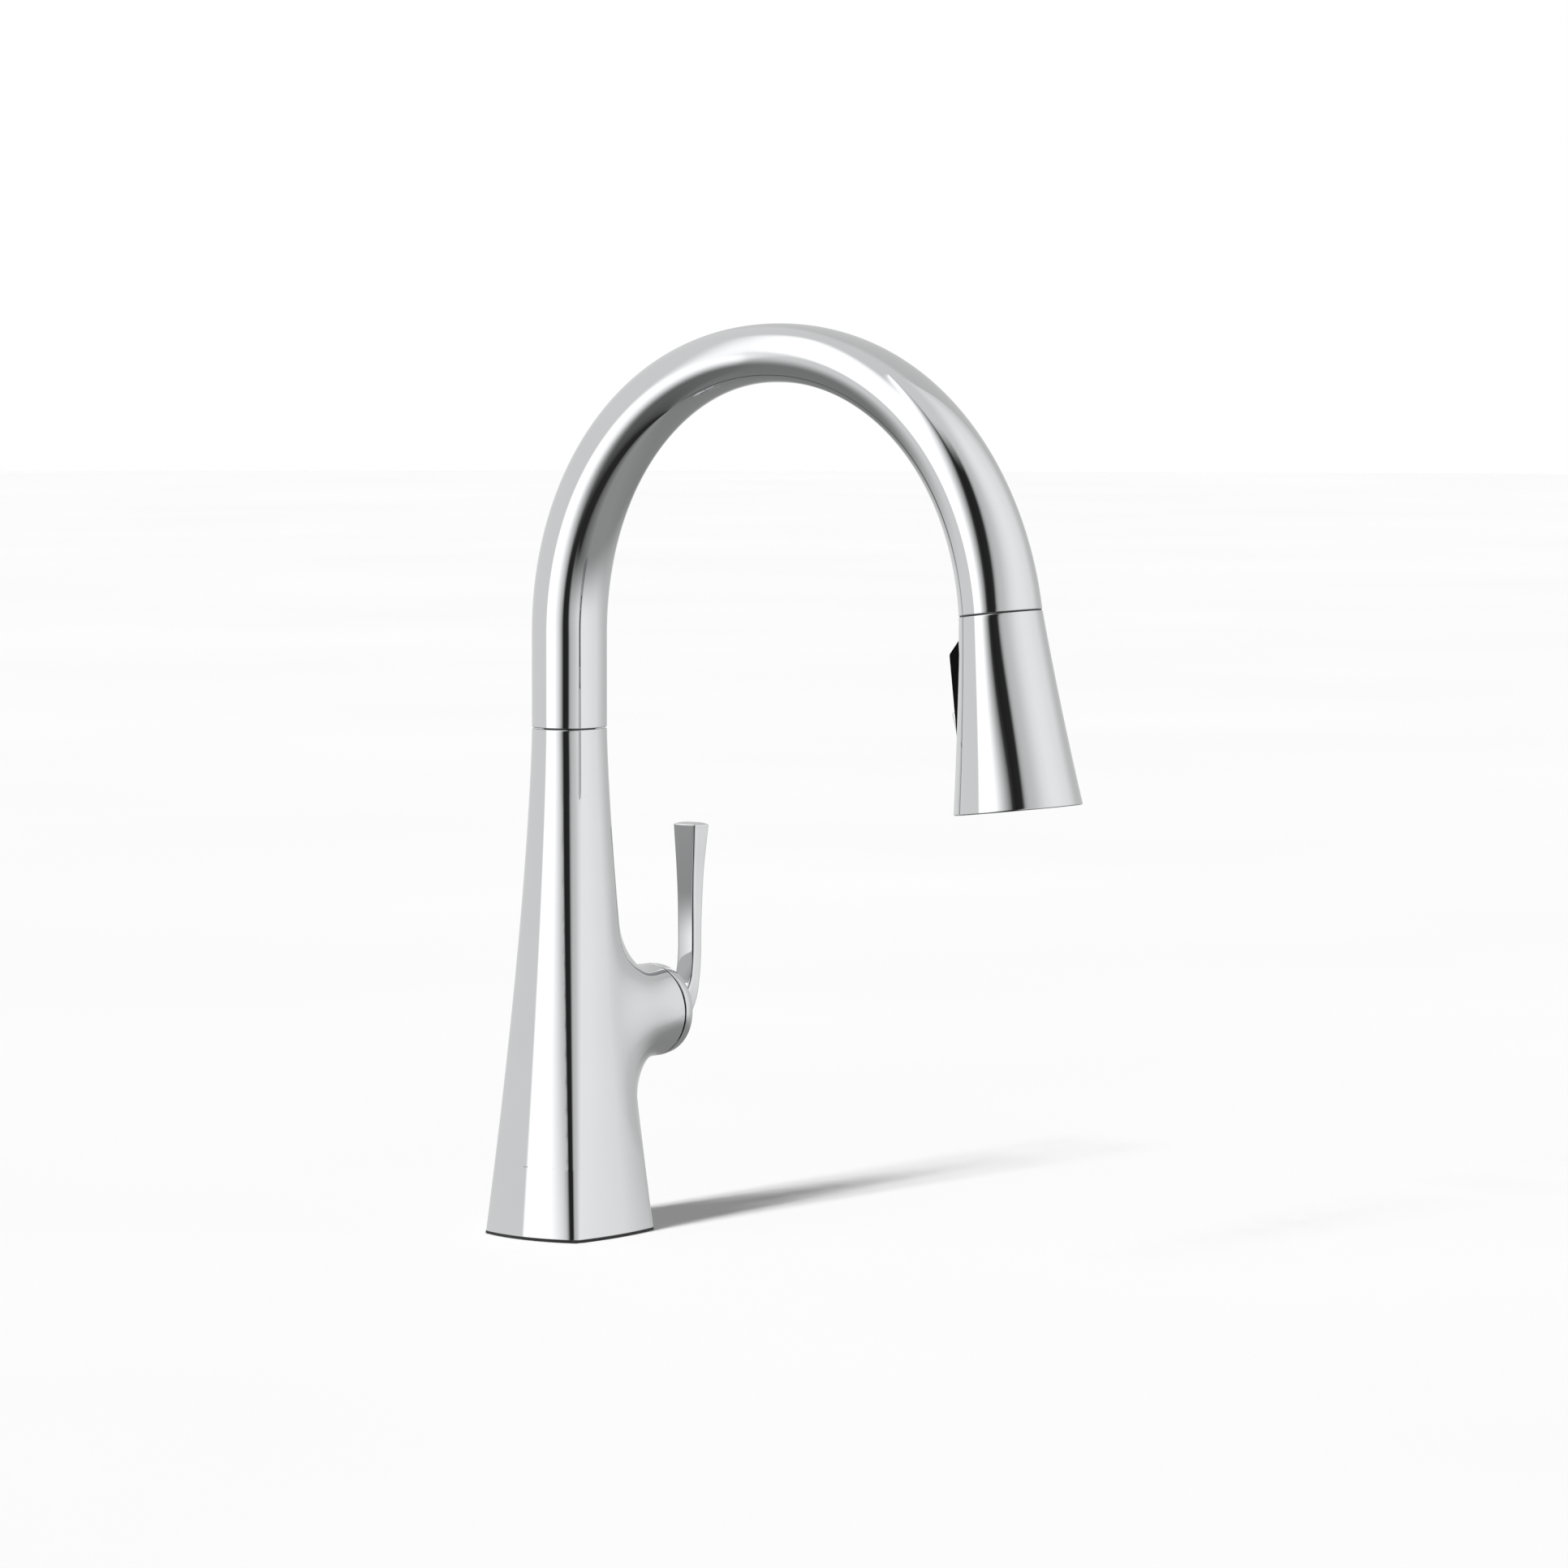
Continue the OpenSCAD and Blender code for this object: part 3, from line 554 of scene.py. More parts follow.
def make_spout(material):
    """The bent tube: outer skin, rims and bore as one closed surface."""
    edge, straight = 0.4, 19
    zs = np.linspace(SEAM_Z + GAP / 2 + edge, ARCH_Z, straight + 1)[:-1]
    # Rows of y, z, direction and share of the arch
    path = [(0.0, z, 0.0, 1.0, 0.0) for z in zs]
    path += [(*arch_point(t), t / ARCH_END) for t in np.linspace(0, ARCH_END, 190)]
    path = np.array(path)
    path[-1, :2] -= path[-1, 2:4] * (GAP / 2 + edge)

    def rings_at(rows, radius):
        radius = np.broadcast_to(radius, (len(rows), RING))
        x, out = radius * np.cos(ANGLES), radius * np.sin(ANGLES)
        return np.stack([x, rows[:, :1] + out * rows[:, 3:4],
                         rows[:, 1:2] - out * rows[:, 2:3]], -1)

    outer_radius = ring_radius(spout_params(path[:, 4]))
    outer = rings_at(path, outer_radius)

    def rim(row, radius, direction):
        rings = []
        for t in np.radians([22, 45, 68, 90]):
            r = row.copy()
            r[:2] += direction * row[2:4] * edge * math.sin(t)
            rings.append(rings_at(r[None], radius - edge * (1 - math.cos(t)))[0])
        r = row.copy()
        r[:2] += direction * row[2:4] * edge
        return rings, r

    end_rings, end_row = rim(path[-1], outer_radius[-1], 1)
    bore_end = []
    for r, back in ((12.9, 0.0), (12.6, 0.3), (12.6, 28.0), (SPOUT_BORE, 28.2)):
        row = end_row.copy()
        row[:2] -= row[2:4] * back
        bore_end.append(rings_at(row[None], np.full(RING, r))[0])
    back_rows = path[straight:-14:6][::-1]
    bore = rings_at(back_rows, np.full((len(back_rows), RING), SPOUT_BORE))
    start_rings, start_row = rim(path[0], outer_radius[0], -1)
    foot = []
    for r, up in ((SPOUT_BORE, 27.0), (10.6, 26.0), (10.6, 0.3), (10.9, 0.0)):
        row = start_row.copy()
        row[:2] += row[2:4] * up
        foot.append(rings_at(row[None], np.full(RING, r))[0])
    rings = np.concatenate([outer, end_rings, bore_end, bore, foot, start_rings[::-1]])
    verts = rings.reshape(-1, 3)
    faces = outward(verts, grid_faces(len(rings), RING, loop=True))
    # The soft corner on the outer left of the arch runs on down the spout's last leg
    normals = area_normals(verts, faces)
    skin = len(outer) * RING
    share = np.repeat(smoothstep((path[:, 4] - 0.5) / 0.25), RING)
    up = np.repeat(np.column_stack([np.zeros(len(path)), -path[:, 2:4]]), RING, 0)
    side = np.arctan2(-np.tile(np.sin(ANGLES), len(outer)), np.tile(np.cos(ANGLES), len(outer)))
    normals[:skin] = turned(normals[:skin], up, share * soft_corner(side % (2 * math.pi)))
    return to_mesh("spout_tube_skin", verts, faces, material, "spout", ["spout_tube"],
                   normals=normals)


# ---------------------------------------------------------------- spray head

def head_radius(l):
    u = np.asarray(l, float) / HEAD_L
    return OUTLET_R + (HEAD_R - OUTLET_R) * (0.78 * u + 0.22 * u * u)


def make_head(material):
    """The head's shell as a turned ring, and a thin black ring in the joint above it, painted shade
    for the dark gap there.
    """
    ls = np.linspace(0.7, HEAD_L - 0.8, 60)
    outline = [(9.7, 0.25), (OUTLET_R - 0.4, 0.25)]
    outline += [(OUTLET_R - 0.4 + 0.4 * math.sin(t) + 0.04, 0.65 - 0.4 * math.cos(t))
                for t in np.radians([30, 60])]
    outline += [(float(head_radius(l)), float(l)) for l in ls]
    outline += [(float(head_radius(HEAD_L)) - 0.7 + 0.7 * math.cos(t) - 0.03,
                 HEAD_L - 0.7 + 0.7 * math.sin(t)) for t in np.radians([20, 45, 70, 90])]
    inner = [(float(head_radius(l)) - HEAD_WALL, float(l)) for l in np.linspace(HEAD_L - 0.4, 4, 24)]
    outline += [(float(head_radius(HEAD_L)) - 1.8, HEAD_L)] + inner
    outline += [(9.7, 3.6)]
    # A thin black ring in the joint above the head is painted shade for the dark gap there
    v, f = turned_ring([(13.0, -0.22), (OUTLET_R - 0.35, -0.22), (OUTLET_R - 0.3, 0.0),
                        (OUTLET_R - 0.35, 0.2), (13.0, 0.2)], 96)
    v = head_to_world(v)
    to_mesh("head_seal", v, outward(v, f), BLACK, "spray_head")
    local, f = turned_ring(outline, 144)
    v = head_to_world(local)
    f = outward(v, f)
    # The spout's soft corner fades out down the head
    share = smoothstep(1 - local[:, 2] / HEAD_L)
    side = np.arctan2(-local[:, 1], local[:, 0]) % (2 * math.pi)
    crease = smoothstep((side - math.radians(210)) / math.radians(13))
    crease *= math.radians(5.5) * smoothstep((math.radians(300) - side) / math.radians(70))
    turn = mix(crease, soft_corner(side), share) * (np.hypot(local[:, 0], local[:, 1]) > 16)
    up = np.broadcast_to(-HEAD_AXES[2], v.shape)
    normals = turned(area_normals(v, f), up, turn)
    return to_mesh("spray_head_shell", v, f, material, "spray_head", ["head_shell"],
                   normals=normals)


def rounded_max(fields, radius):
    """Intersection of several half spaces, with its edges rounded to a radius."""
    total = sum(np.maximum(v + radius, 0) ** 2 for v in fields)
    top = fields[0]
    for v in fields[1:]:
        top = np.maximum(top, v)
    return np.where(top > -radius, np.sqrt(total) - radius, top)


def head_net(name, f, low, high, step, material, body, replaces):
    """A piece on the spray head from its field in the head's own frame."""
    v, faces = surface_net(f, low, high, step)
    n = unit(gradient(f, v, step * 0.1))
    v = head_to_world(v)
    return to_mesh(name, v, outward(v, faces), material, body, replaces,
                   normals=n @ HEAD_AXES)


# Where the two keys sit along the head, and half their width
SPRAY_L, PAUSE_L, KEY_W = 28.8, 46.6, 5.7
POCKET_W, POCKET_FLOOR, KEY_FLOOR = 6.0, 20.5, 17.5


def bezel_field(x, y, l):
    """The black pad on the head, facing the column: a ramp, then a face parallel to the axis."""
    h = -y
    ramp = ((h - PAD_H) + (16.8 - l)) / math.sqrt(2)
    crown = h - PAD_H + 0.012 * x * x
    body = rounded_max([crown, ramp, np.abs(x) - PAD_W, l - 53.4, 14.2 - h], 0.6)
    pockets = [rounded_max([np.abs(x) - POCKET_W, np.abs(l - at) - half, POCKET_FLOOR - h], 0.5)
               for at, half in ((SPRAY_L, 10.2), (PAUSE_L, 5.0))]
    return np.maximum(body, -np.minimum(*pockets))


def spray_key_field(x, y, l):
    """A dished key with fine ribs across it."""
    h = -y
    along = l - SPRAY_L
    dish = 0.55 * np.exp(-(along / 6.5) ** 2)
    ribs = 0.16 * np.cos(along * 2 * math.pi / 2.2) * smoothstep(5.2 - np.abs(along))
    ribs = ribs * smoothstep(4.6 - np.abs(x))
    face = h - (PAD_H + 1.0) + 0.012 * x * x + dish - ribs
    return rounded_max([face, np.abs(x) - KEY_W, np.abs(along) - 9.9, KEY_FLOOR - h], 0.8)


def pause_key_field(x, y, l):
    """A small crowned key that slopes away from the other one."""
    h = -y
    face = (h - (PAD_H + 2.4)) + 0.16 * (l - PAUSE_L) + 0.02 * x * x
    return rounded_max([face, np.abs(x) - KEY_W, np.abs(l - PAUSE_L) - 4.7, KEY_FLOOR - h], 0.9)


# ---------------------------------------------------------------- handle

# Centre x and z above the handle's axis, direction in degrees, thickness across it, width along Y
LEVER_STEPS = np.array([
    [66, -2.6, 10, 17, 19], [72, -2, 14, 15, 17.5], [78, -0.3, 26, 12.4, 15.5],
    [82.2, 2.6, 42, 10.4, 13.6], [85.7, 7, 58, 8.8, 12], [88, 12.4, 72, 7.4, 10.8],
    [89.2, 18, 82, 7, 10.4], [89.8, 25, 88, 6.7, 10.3], [89.9, 36, 90, 6.7, 10.4],
    [90.1, LEVER_H * 0.58, 90, 7.5, 10.5], [90.3, LEVER_H * 0.76, 89, 8.6, 11.5],
    [90.7, LEVER_H * 0.9, 88, 10, 12.9], [91, LEVER_H, 88, 11.2, 13.8]], float)


def spline(table, count):
    """A smooth cubic curve through the rows of a table, at even chord length."""
    d = np.r_[0, np.cumsum(np.linalg.norm(np.diff(table[:, :2], axis=0), axis=1))]
    at = np.linspace(0, d[-1], count)
    slope = np.gradient(table, d, axis=0)
    k = np.clip(np.searchsorted(d, at, side="right") - 1, 0, len(d) - 2)
    h = d[k + 1] - d[k]
    t = ((at - d[k]) / h)[:, None]
    h = h[:, None]
    return ((2 * t ** 3 - 3 * t ** 2 + 1) * table[k] + (t ** 3 - 2 * t ** 2 + t) * h * slope[k]
            + (-2 * t ** 3 + 3 * t ** 2) * table[k + 1] + (t ** 3 - t ** 2) * h * slope[k + 1])


def bar_ring(t, w, r, n=10):
    """Rounded rectangle as (across, along Y), with a few points along each side."""
    a, b = t / 2, w / 2
    pts = []
    for sx, sy, start in ((1, 1, 0), (-1, 1, 90), (-1, -1, 180), (1, -1, 270)):
        for k in range(n + 1):
            g = math.radians(start + 90 * k / n)
            pts.append([sx * (a - r) + r * math.cos(g), sy * (b - r) + r * math.sin(g)])
    out = []
    for i, p in enumerate(pts):
        q = pts[(i + 1) % len(pts)]
        out.append(p)
        if (i + 1) % (n + 1) == 0:
            for s in (0.2, 0.4, 0.6, 0.8):
                out.append([mix(p[0], q[0], s), mix(p[1], q[1], s)])
    return np.array(out)


def make_lever(material):
    """The blade: rounded sections along a curve, with a domed tip."""
    rounding, dome = 0.7, ((0.8, 0.45), (0.55, 0.72), (0.25, 0.85))
    steps = spline(LEVER_STEPS, 90)
    rings = []
    for x, z, g, t, w in steps:
        r = np.interp(z, [0, 10, 20], [2.4, 1.6, 1.4])
        g = math.radians(g)
        rings.append([(x - p[0] * math.sin(g), p[1], BOSS_Z + z + p[0] * math.cos(g))
                      for p in bar_ring(t, w, r)])
    rings = np.array(rings)
    tip = steps[-1]
    g = math.radians(tip[2])
    axis = np.array([math.cos(g), 0, math.sin(g)])
    centre = np.array([tip[0], 0, BOSS_Z + tip[1]])
    rings[-1] -= axis * rounding
    cap = []
    for a in np.radians([25, 50, 75, 90]):
        shrink = rounding * (1 - math.cos(a))
        flat = rings[-1] - centre
        size = np.linalg.norm(flat, axis=1, keepdims=True)
        cap.append(centre + flat * (1 - shrink / size * 1.25) + axis * rounding * math.sin(a))
    for share, rise in dome:
        cap.append(centre + (cap[3] - centre) * share + axis * rise)
    rings = np.concatenate([rings, cap])
    n = rings.shape[1]
    verts = rings.reshape(-1, 3)
    faces = grid_faces(len(rings), n)
    faces += [list(range(n))[::-1], [(len(rings) - 1) * n + k for k in range(n)]]
    faces = outward(verts, faces)
    # The blade's inner face is dished, so that it looks down a little, most at the tip
    normals = area_normals(verts, faces)
    height = verts[:, 2]
    down = mix(0.103 + 0.006 * verts[:, 1], 0.186, smoothstep((height - 130) / 26))
    down += 0.04 * (1 - smoothstep((height - 106) / 14))
    inner = smoothstep((-normals[:, 0] - 0.75) / 0.2) * smoothstep((height - 98) / 8)
    z_axis = np.broadcast_to([0.0, 0.0, 1.0], verts.shape)
    normals = turned(normals, z_axis, math.radians(4) * inner)
    normals[:, 2] = mix(normals[:, 2], -down, inner)
    return to_mesh("lever_blade", verts, faces, material, "lever", ["handle_lever"],
                   normals=unit(normals))


def hub_end(a):
    """The hub's rounded end at angle a from its rim, as (radius, x), and its outward way."""
    flat, deep = 3.4, 16.3
    wide = (BOSS_R - flat) / math.cos(math.pi / 6)
    point = (flat + wide * math.cos(a), HUB_X - 3.6 + deep * math.sin(a))
    return point, (deep * math.cos(a), wide * math.sin(a))


def make_hub(material):
    """The hub in front of the boss, and the plug over its set screw."""
    # The hub slides over the boss's end, so its seat is a sphere about the tilting axis
    outline = [(r, PIVOT_X + math.sqrt(HUB_SEAT_R ** 2 - r * r))
               for r in np.linspace(0, BOSS_R - 0.55, 16)]
    outline += [(BOSS_R - 0.5 + 0.5 * math.sin(t), HUB_X + 0.5 - 0.5 * math.cos(t))
                for t in np.radians([0, 25, 50, 75])]
    outline += [(BOSS_R, HUB_X + 0.6), (BOSS_R, HUB_X + 1.8)]
    outline += [hub_end(t)[0] for t in np.radians(np.arange(32, 91, 3))]
    outline += [(0, HUB_X + 12.7)]
    v, f = lathe(outline, 128)
    v = boss_to_world(v)
    to_mesh("lever_hub", v, outward(v, f), material, "lever")
    # The plug lies flush in the underside of the hub
    (r, x), (way_r, way_x) = hub_end(math.radians(52))
    spot, way = np.array([x, 0.0, BOSS_Z - r]), unit(np.array([way_x, 0.0, -way_r]))
    v, f = lathe([(0, -1.2), (2.3, -1.2), (2.3, -0.05), (2.1, 0.12), (0, 0.18)], 48)
    side = np.array([0.0, 1.0, 0.0])
    v = spot + v[:, :1] * side + v[:, 1:2] * np.cross(way, side) + v[:, 2:] * way
    return to_mesh("hub_plug", v, outward(v, f), BLACK, "lever", ["index_plug"])


# ---------------------------------------------------------------- hose

def make_hose(material):
    """The spray hose through the whole faucet; its last stretch is a separate piece that rides on no
    body.
    """
    sides, last = 24, 20
    end_l = -12.6  # along the head's axis, where the hose meets its ball
    points = [(0.0, z, 0.0, 1.0) for z in np.linspace(HOSE_LOW, ARCH_Z - 4, 50)]
    points += [arch_point(t) for t in np.linspace(0, ARCH_END - math.radians(6), 120)]
    points.append((END_Y - end_l * math.sin(TILT), END_Z - end_l * math.cos(TILT),
                   -math.sin(TILT), -math.cos(TILT)))
    p = np.array(points)
    a = np.linspace(0, 2 * math.pi, sides, endpoint=False)
    rings = np.stack([np.broadcast_to(HOSE_R * np.cos(a), (len(p), sides)),
                      p[:, :1] + HOSE_R * np.sin(a) * p[:, 3:4],
                      p[:, 1:2] - HOSE_R * np.sin(a) * p[:, 2:3]], -1)

    def stretch(name, part):
        verts = part.reshape(-1, 3)
        faces = grid_faces(len(part), sides)
        faces += [list(range(sides))[::-1], [(len(part) - 1) * sides + k for k in range(sides)]]
        piece = smooth_object(name, verts, outward(verts, faces), material)
        return piece

    split = len(p) - last
    piece = stretch("spray_hose_braid", rings[:split + 1])
    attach(piece, "spout")
    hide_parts("spray_hose")
    piece = stretch("spray_hose_end", rings[split:])
    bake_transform(piece)


# ---------------------------------------------------------------- materials

def node_material(name):
    mat = bpy.data.materials.new(name)
    mat.use_nodes = True
    tree = mat.node_tree
    shader = next(n for n in tree.nodes if n.type == "BSDF_PRINCIPLED")
    coords = tree.nodes.new("ShaderNodeTexCoord")
    return mat, tree, shader, coords.outputs["Object"]


def noise(tree, coords, scale, detail=3.0, stretch=None):
    node = tree.nodes.new("ShaderNodeTexNoise")
    node.inputs["Scale"].default_value = scale
    node.inputs["Detail"].default_value = detail
    if stretch:
        mapping = tree.nodes.new("ShaderNodeMapping")
        mapping.inputs["Scale"].default_value = stretch
        tree.links.new(coords, mapping.inputs["Vector"])
        coords = mapping.outputs["Vector"]
    tree.links.new(coords, node.inputs["Vector"])
    return node.outputs["Fac"]


def ramp(tree, value, stops):
    """Colour ramp over a value; stops are (position, colour) pairs."""
    node = tree.nodes.new("ShaderNodeValToRGB")
    elements = node.color_ramp.elements
    while len(elements) < len(stops):
        elements.new(0.5)
    for e, (p, c) in zip(elements, stops):
        e.position = p
        e.color = (*c, 1.0)
    tree.links.new(value, node.inputs["Fac"])
    return node.outputs["Color"]


def spread(tree, value, low, high):
    """Maps a 0 to 1 value to a range."""
    node = tree.nodes.new("ShaderNodeMapRange")
    node.inputs["To Min"].default_value = low
    node.inputs["To Max"].default_value = high
    tree.links.new(value, node.inputs["Value"])
    return node.outputs["Result"]


def bump(tree, shader, height, distance):
    node = tree.nodes.new("ShaderNodeBump")
    node.inputs["Distance"].default_value = distance
    tree.links.new(height, node.inputs["Height"])
    tree.links.new(node.outputs["Normal"], shader.inputs["Normal"])


def chrome(name, tint, rough):
    """Polished plate: a faint haze in its tint and gloss, and almost invisible waviness."""
    mat, tree, shader, at = node_material(name)
    shader.inputs["Metallic"].default_value = 1.0
    haze = noise(tree, at, 28.0, 4.0)
    tree.links.new(ramp(tree, haze, [(0.3, [c * 0.985 for c in tint]), (0.7, tint)]),
                   shader.inputs["Base Color"])
    tree.links.new(spread(tree, haze, rough * 0.6, rough * 1.5), shader.inputs["Roughness"])
    bump(tree, shader, noise(tree, at, 90.0, 2.0), 0.000004)
    return mat


def turned_metal(name, low, high, rough):
    """Machined metal: tool rings, a cloudy tint and uneven gloss."""
    mat, tree, shader, at = node_material(name)
    shader.inputs["Metallic"].default_value = 1.0
    cloud = noise(tree, at, 60.0, 6.0)
    tree.links.new(ramp(tree, cloud, [(0.3, low), (0.7, high)]), shader.inputs["Base Color"])
    tree.links.new(spread(tree, cloud, rough * 0.7, rough * 1.3), shader.inputs["Roughness"])
    bump(tree, shader, noise(tree, at, 1.0, 2.0, stretch=(40.0, 40.0, 5200.0)), 0.00002)
    return mat


def plastic(name, low, high, rough, grain, depth):
    """Moulded plastic or rubber: slight tint clouds and a fine moulded texture."""
    mat, tree, shader, at = node_material(name)
    cloud = noise(tree, at, 45.0, 5.0)
    tree.links.new(ramp(tree, cloud, [(0.3, low), (0.7, high)]), shader.inputs["Base Color"])
    tree.links.new(spread(tree, noise(tree, at, 300.0), rough * 0.8, rough * 1.2),
                   shader.inputs["Roughness"])
    bump(tree, shader, noise(tree, at, grain, 3.0), depth)
    return mat


def braid_material(name):
    """Nylon braid: two crossed sets of strands with darker gaps between them."""
    mat, tree, shader, at = node_material(name)
    waves = []
    for sign in (1, -1):
        wave = tree.nodes.new("ShaderNodeTexWave")
        wave.inputs["Scale"].default_value = 1.0
        mapping = tree.nodes.new("ShaderNodeMapping")
        mapping.inputs["Scale"].default_value = (170.0, 170.0 * sign, 190.0)
        wave.bands_direction = "DIAGONAL"
        tree.links.new(at, mapping.inputs["Vector"])
        tree.links.new(mapping.outputs["Vector"], wave.inputs["Vector"])
        waves.append(wave.outputs["Fac"])
    top = tree.nodes.new("ShaderNodeMath")
    top.operation = "MAXIMUM"
    tree.links.new(waves[0], top.inputs[0])
    tree.links.new(waves[1], top.inputs[1])
    tree.links.new(ramp(tree, top.outputs["Value"], [(0.15, (0.06, 0.06, 0.065)),
                                                     (0.75, (0.33, 0.33, 0.35))]),
                   shader.inputs["Base Color"])
    shader.inputs["Roughness"].default_value = 0.55
    bump(tree, shader, top.outputs["Value"], 0.0003)
    return mat


CHROME = chrome("polished_chrome", (0.683, 0.688, 0.695), 0.03)
BRASS = turned_metal("machined_brass", (0.62, 0.44, 0.17), (0.74, 0.55, 0.25), 0.22)
STEEL = turned_metal("zinc_plated_steel", (0.50, 0.50, 0.49), (0.62, 0.62, 0.62), 0.3)
# The swivel sleeve is brass; its near-black colour is painted shade for the dark seam between column
# and spout
BRASS_PAINTED_SHADE = turned_metal("blackened_brass", (0.05, 0.05, 0.05), (0.09, 0.09, 0.09), 0.35)
COPPER = turned_metal("drawn_copper", (0.62, 0.29, 0.17), (0.75, 0.38, 0.24), 0.2)
RUBBER = plastic("black_rubber", (0.012, 0.012, 0.013), (0.025, 0.025, 0.026), 0.6, 900.0, 0.00004)
GREY_RUBBER = plastic("grey_silicone", (0.10, 0.10, 0.105), (0.15, 0.15, 0.155), 0.5, 900.0, 0.00003)
BLACK = plastic("black_moulding", (0.022, 0.022, 0.023), (0.032, 0.032, 0.033), 0.36, 1600.0, 0.00003)
DARK = plastic("dark_grey_moulding", (0.035, 0.036, 0.038), (0.055, 0.056, 0.058), 0.42, 1500.0,
               0.00003)
WHITE = plastic("white_acetal", (0.70, 0.70, 0.68), (0.78, 0.78, 0.76), 0.35, 700.0, 0.00002)
CERAMIC = plastic("lapped_ceramic", (0.78, 0.76, 0.70), (0.86, 0.84, 0.79), 0.12, 500.0, 0.000004)
SILVER = chrome("satin_plate", (0.80, 0.805, 0.82), 0.16)
BRAID = braid_material("nylon_braid")

NODE_MATERIALS = {
    RUBBER: ["deck_gasket", "rubber_washer", "port_seals", "swivel_o_rings", "aerator_seal"],
    GREY_RUBBER: ["spray_nozzles"],
    BRASS: ["mounting_shank", "mounting_nut", "valve_manifold", "cartridge_seat", "cartridge_nut",
            "hose_end_fitting", "hose_ball"],
    STEEL: ["backing_plate", "clamp_screws", "retaining_ring", "cartridge_stem", "stem_pin",
            "set_screw", "ball_retainer", "button_springs"],
    COPPER: ["hot_riser", "cold_riser", "outlet_riser"],
    WHITE: ["cartridge_base", "cartridge_housing", "stem_carrier", "check_valve", "diverter_spool",
            "head_neck", "aerator"],
    CERAMIC: ["fixed_disc", "moving_disc"],
    BLACK: ["glide_ring", "dock_collar", "head_core"],
    DARK: ["spray_face", "dock_magnet"],
    # Painted shade: the brass sleeve is coloured near black for the seam's dark line
    BRASS_PAINTED_SHADE: ["swivel_sleeve"],
    SILVER: ["face_ring", "dome_cap"],
    CHROME: ["column_shell", "spout_tube", "handle_lever", "head_shell", "pause_button"],
}
for material, names in NODE_MATERIALS.items():
    for name in names:
        slots = NODES[name].data.materials
        slots.clear()
        slots.append(material)

# ---------------------------------------------------------------- the pieces

make_column(CHROME)
make_spout(CHROME)
make_head(CHROME)
make_lever(CHROME)
make_hub(CHROME)
head_net("button_pad", bezel_field, (-9.5, -26.5, 10), (9.5, -13, 55), 0.4, BLACK,
         "spray_head", ["button_bezel"])
head_net("spray_key", spray_key_field, (-6.5, -27, 18), (6.5, -16.5, 40), 0.3, BLACK,
         "spray_key", ["spray_button"])
head_net("pause_key", pause_key_field, (-6.5, -28.5, 41), (6.5, -16.5, 52.5), 0.3, SILVER,
         "pause_key", ["pause_button"])
make_hose(BRAID)

# ---------------------------------------------------------------- camera, floor and light

def make_camera():
    """A long lens at the photograph's viewing angle, a little above the deck."""
    azimuth, distance, height = math.radians(-50.393), 3.09825, 0.44843
    yaw, pitch, roll = math.radians(-1.850), math.radians(4.393), math.radians(0.1)
    focal_px, frame_px = 8206.6, 1932
    data = bpy.data.cameras.new("camera")
    data.sensor_width = 36.0
    data.lens = focal_px / frame_px * data.sensor_width
    data.clip_end = 50.0
    camera = bpy.data.objects.new("camera", data)
    bpy.context.scene.collection.objects.link(camera)
    heading = azimuth + yaw
    forward = Vector((-math.sin(heading) * math.cos(pitch), math.cos(heading) * math.cos(pitch),
                      -math.sin(pitch)))
    right = Vector((math.cos(heading), math.sin(heading), 0))
    turn = Matrix((right, right.cross(forward), -forward)).transposed()
    place = Matrix.Translation((math.sin(azimuth) * distance, -math.cos(azimuth) * distance, height))
    camera.matrix_world = place @ (turn @ Matrix.Rotation(roll, 3, "Z")).to_4x4()
    bpy.context.scene.camera = camera
    bpy.context.scene.view_settings.view_transform = "Standard"


make_camera()


def make_floor():
    """A round pale deck that the chrome doesn't reflect."""
    mat, tree, shader, at = node_material("pale_floor")
    shade = noise(tree, at, 1.5, 2.0)
    tree.links.new(ramp(tree, shade, [(0.3, (0.80, 0.80, 0.80)), (0.7, (0.82, 0.82, 0.82))]),
                   shader.inputs["Base Color"])
    shader.inputs["Roughness"].default_value = 0.9
    shader.inputs["Specular IOR Level"].default_value = 0.0
    mesh = bpy.data.meshes.new("floor")
    sides, radius = 64, 12.0
    angles = [2 * math.pi * k / sides for k in range(sides)]
    mesh.from_pydata([(radius * math.cos(a), radius * math.sin(a), 0) for a in angles], [],
                     [list(range(sides))])
    mesh.materials.append(mat)
    floor = bpy.data.objects.new("floor", mesh)
    bpy.context.scene.collection.objects.link(floor)
    floor.visible_glossy = False


make_floor()


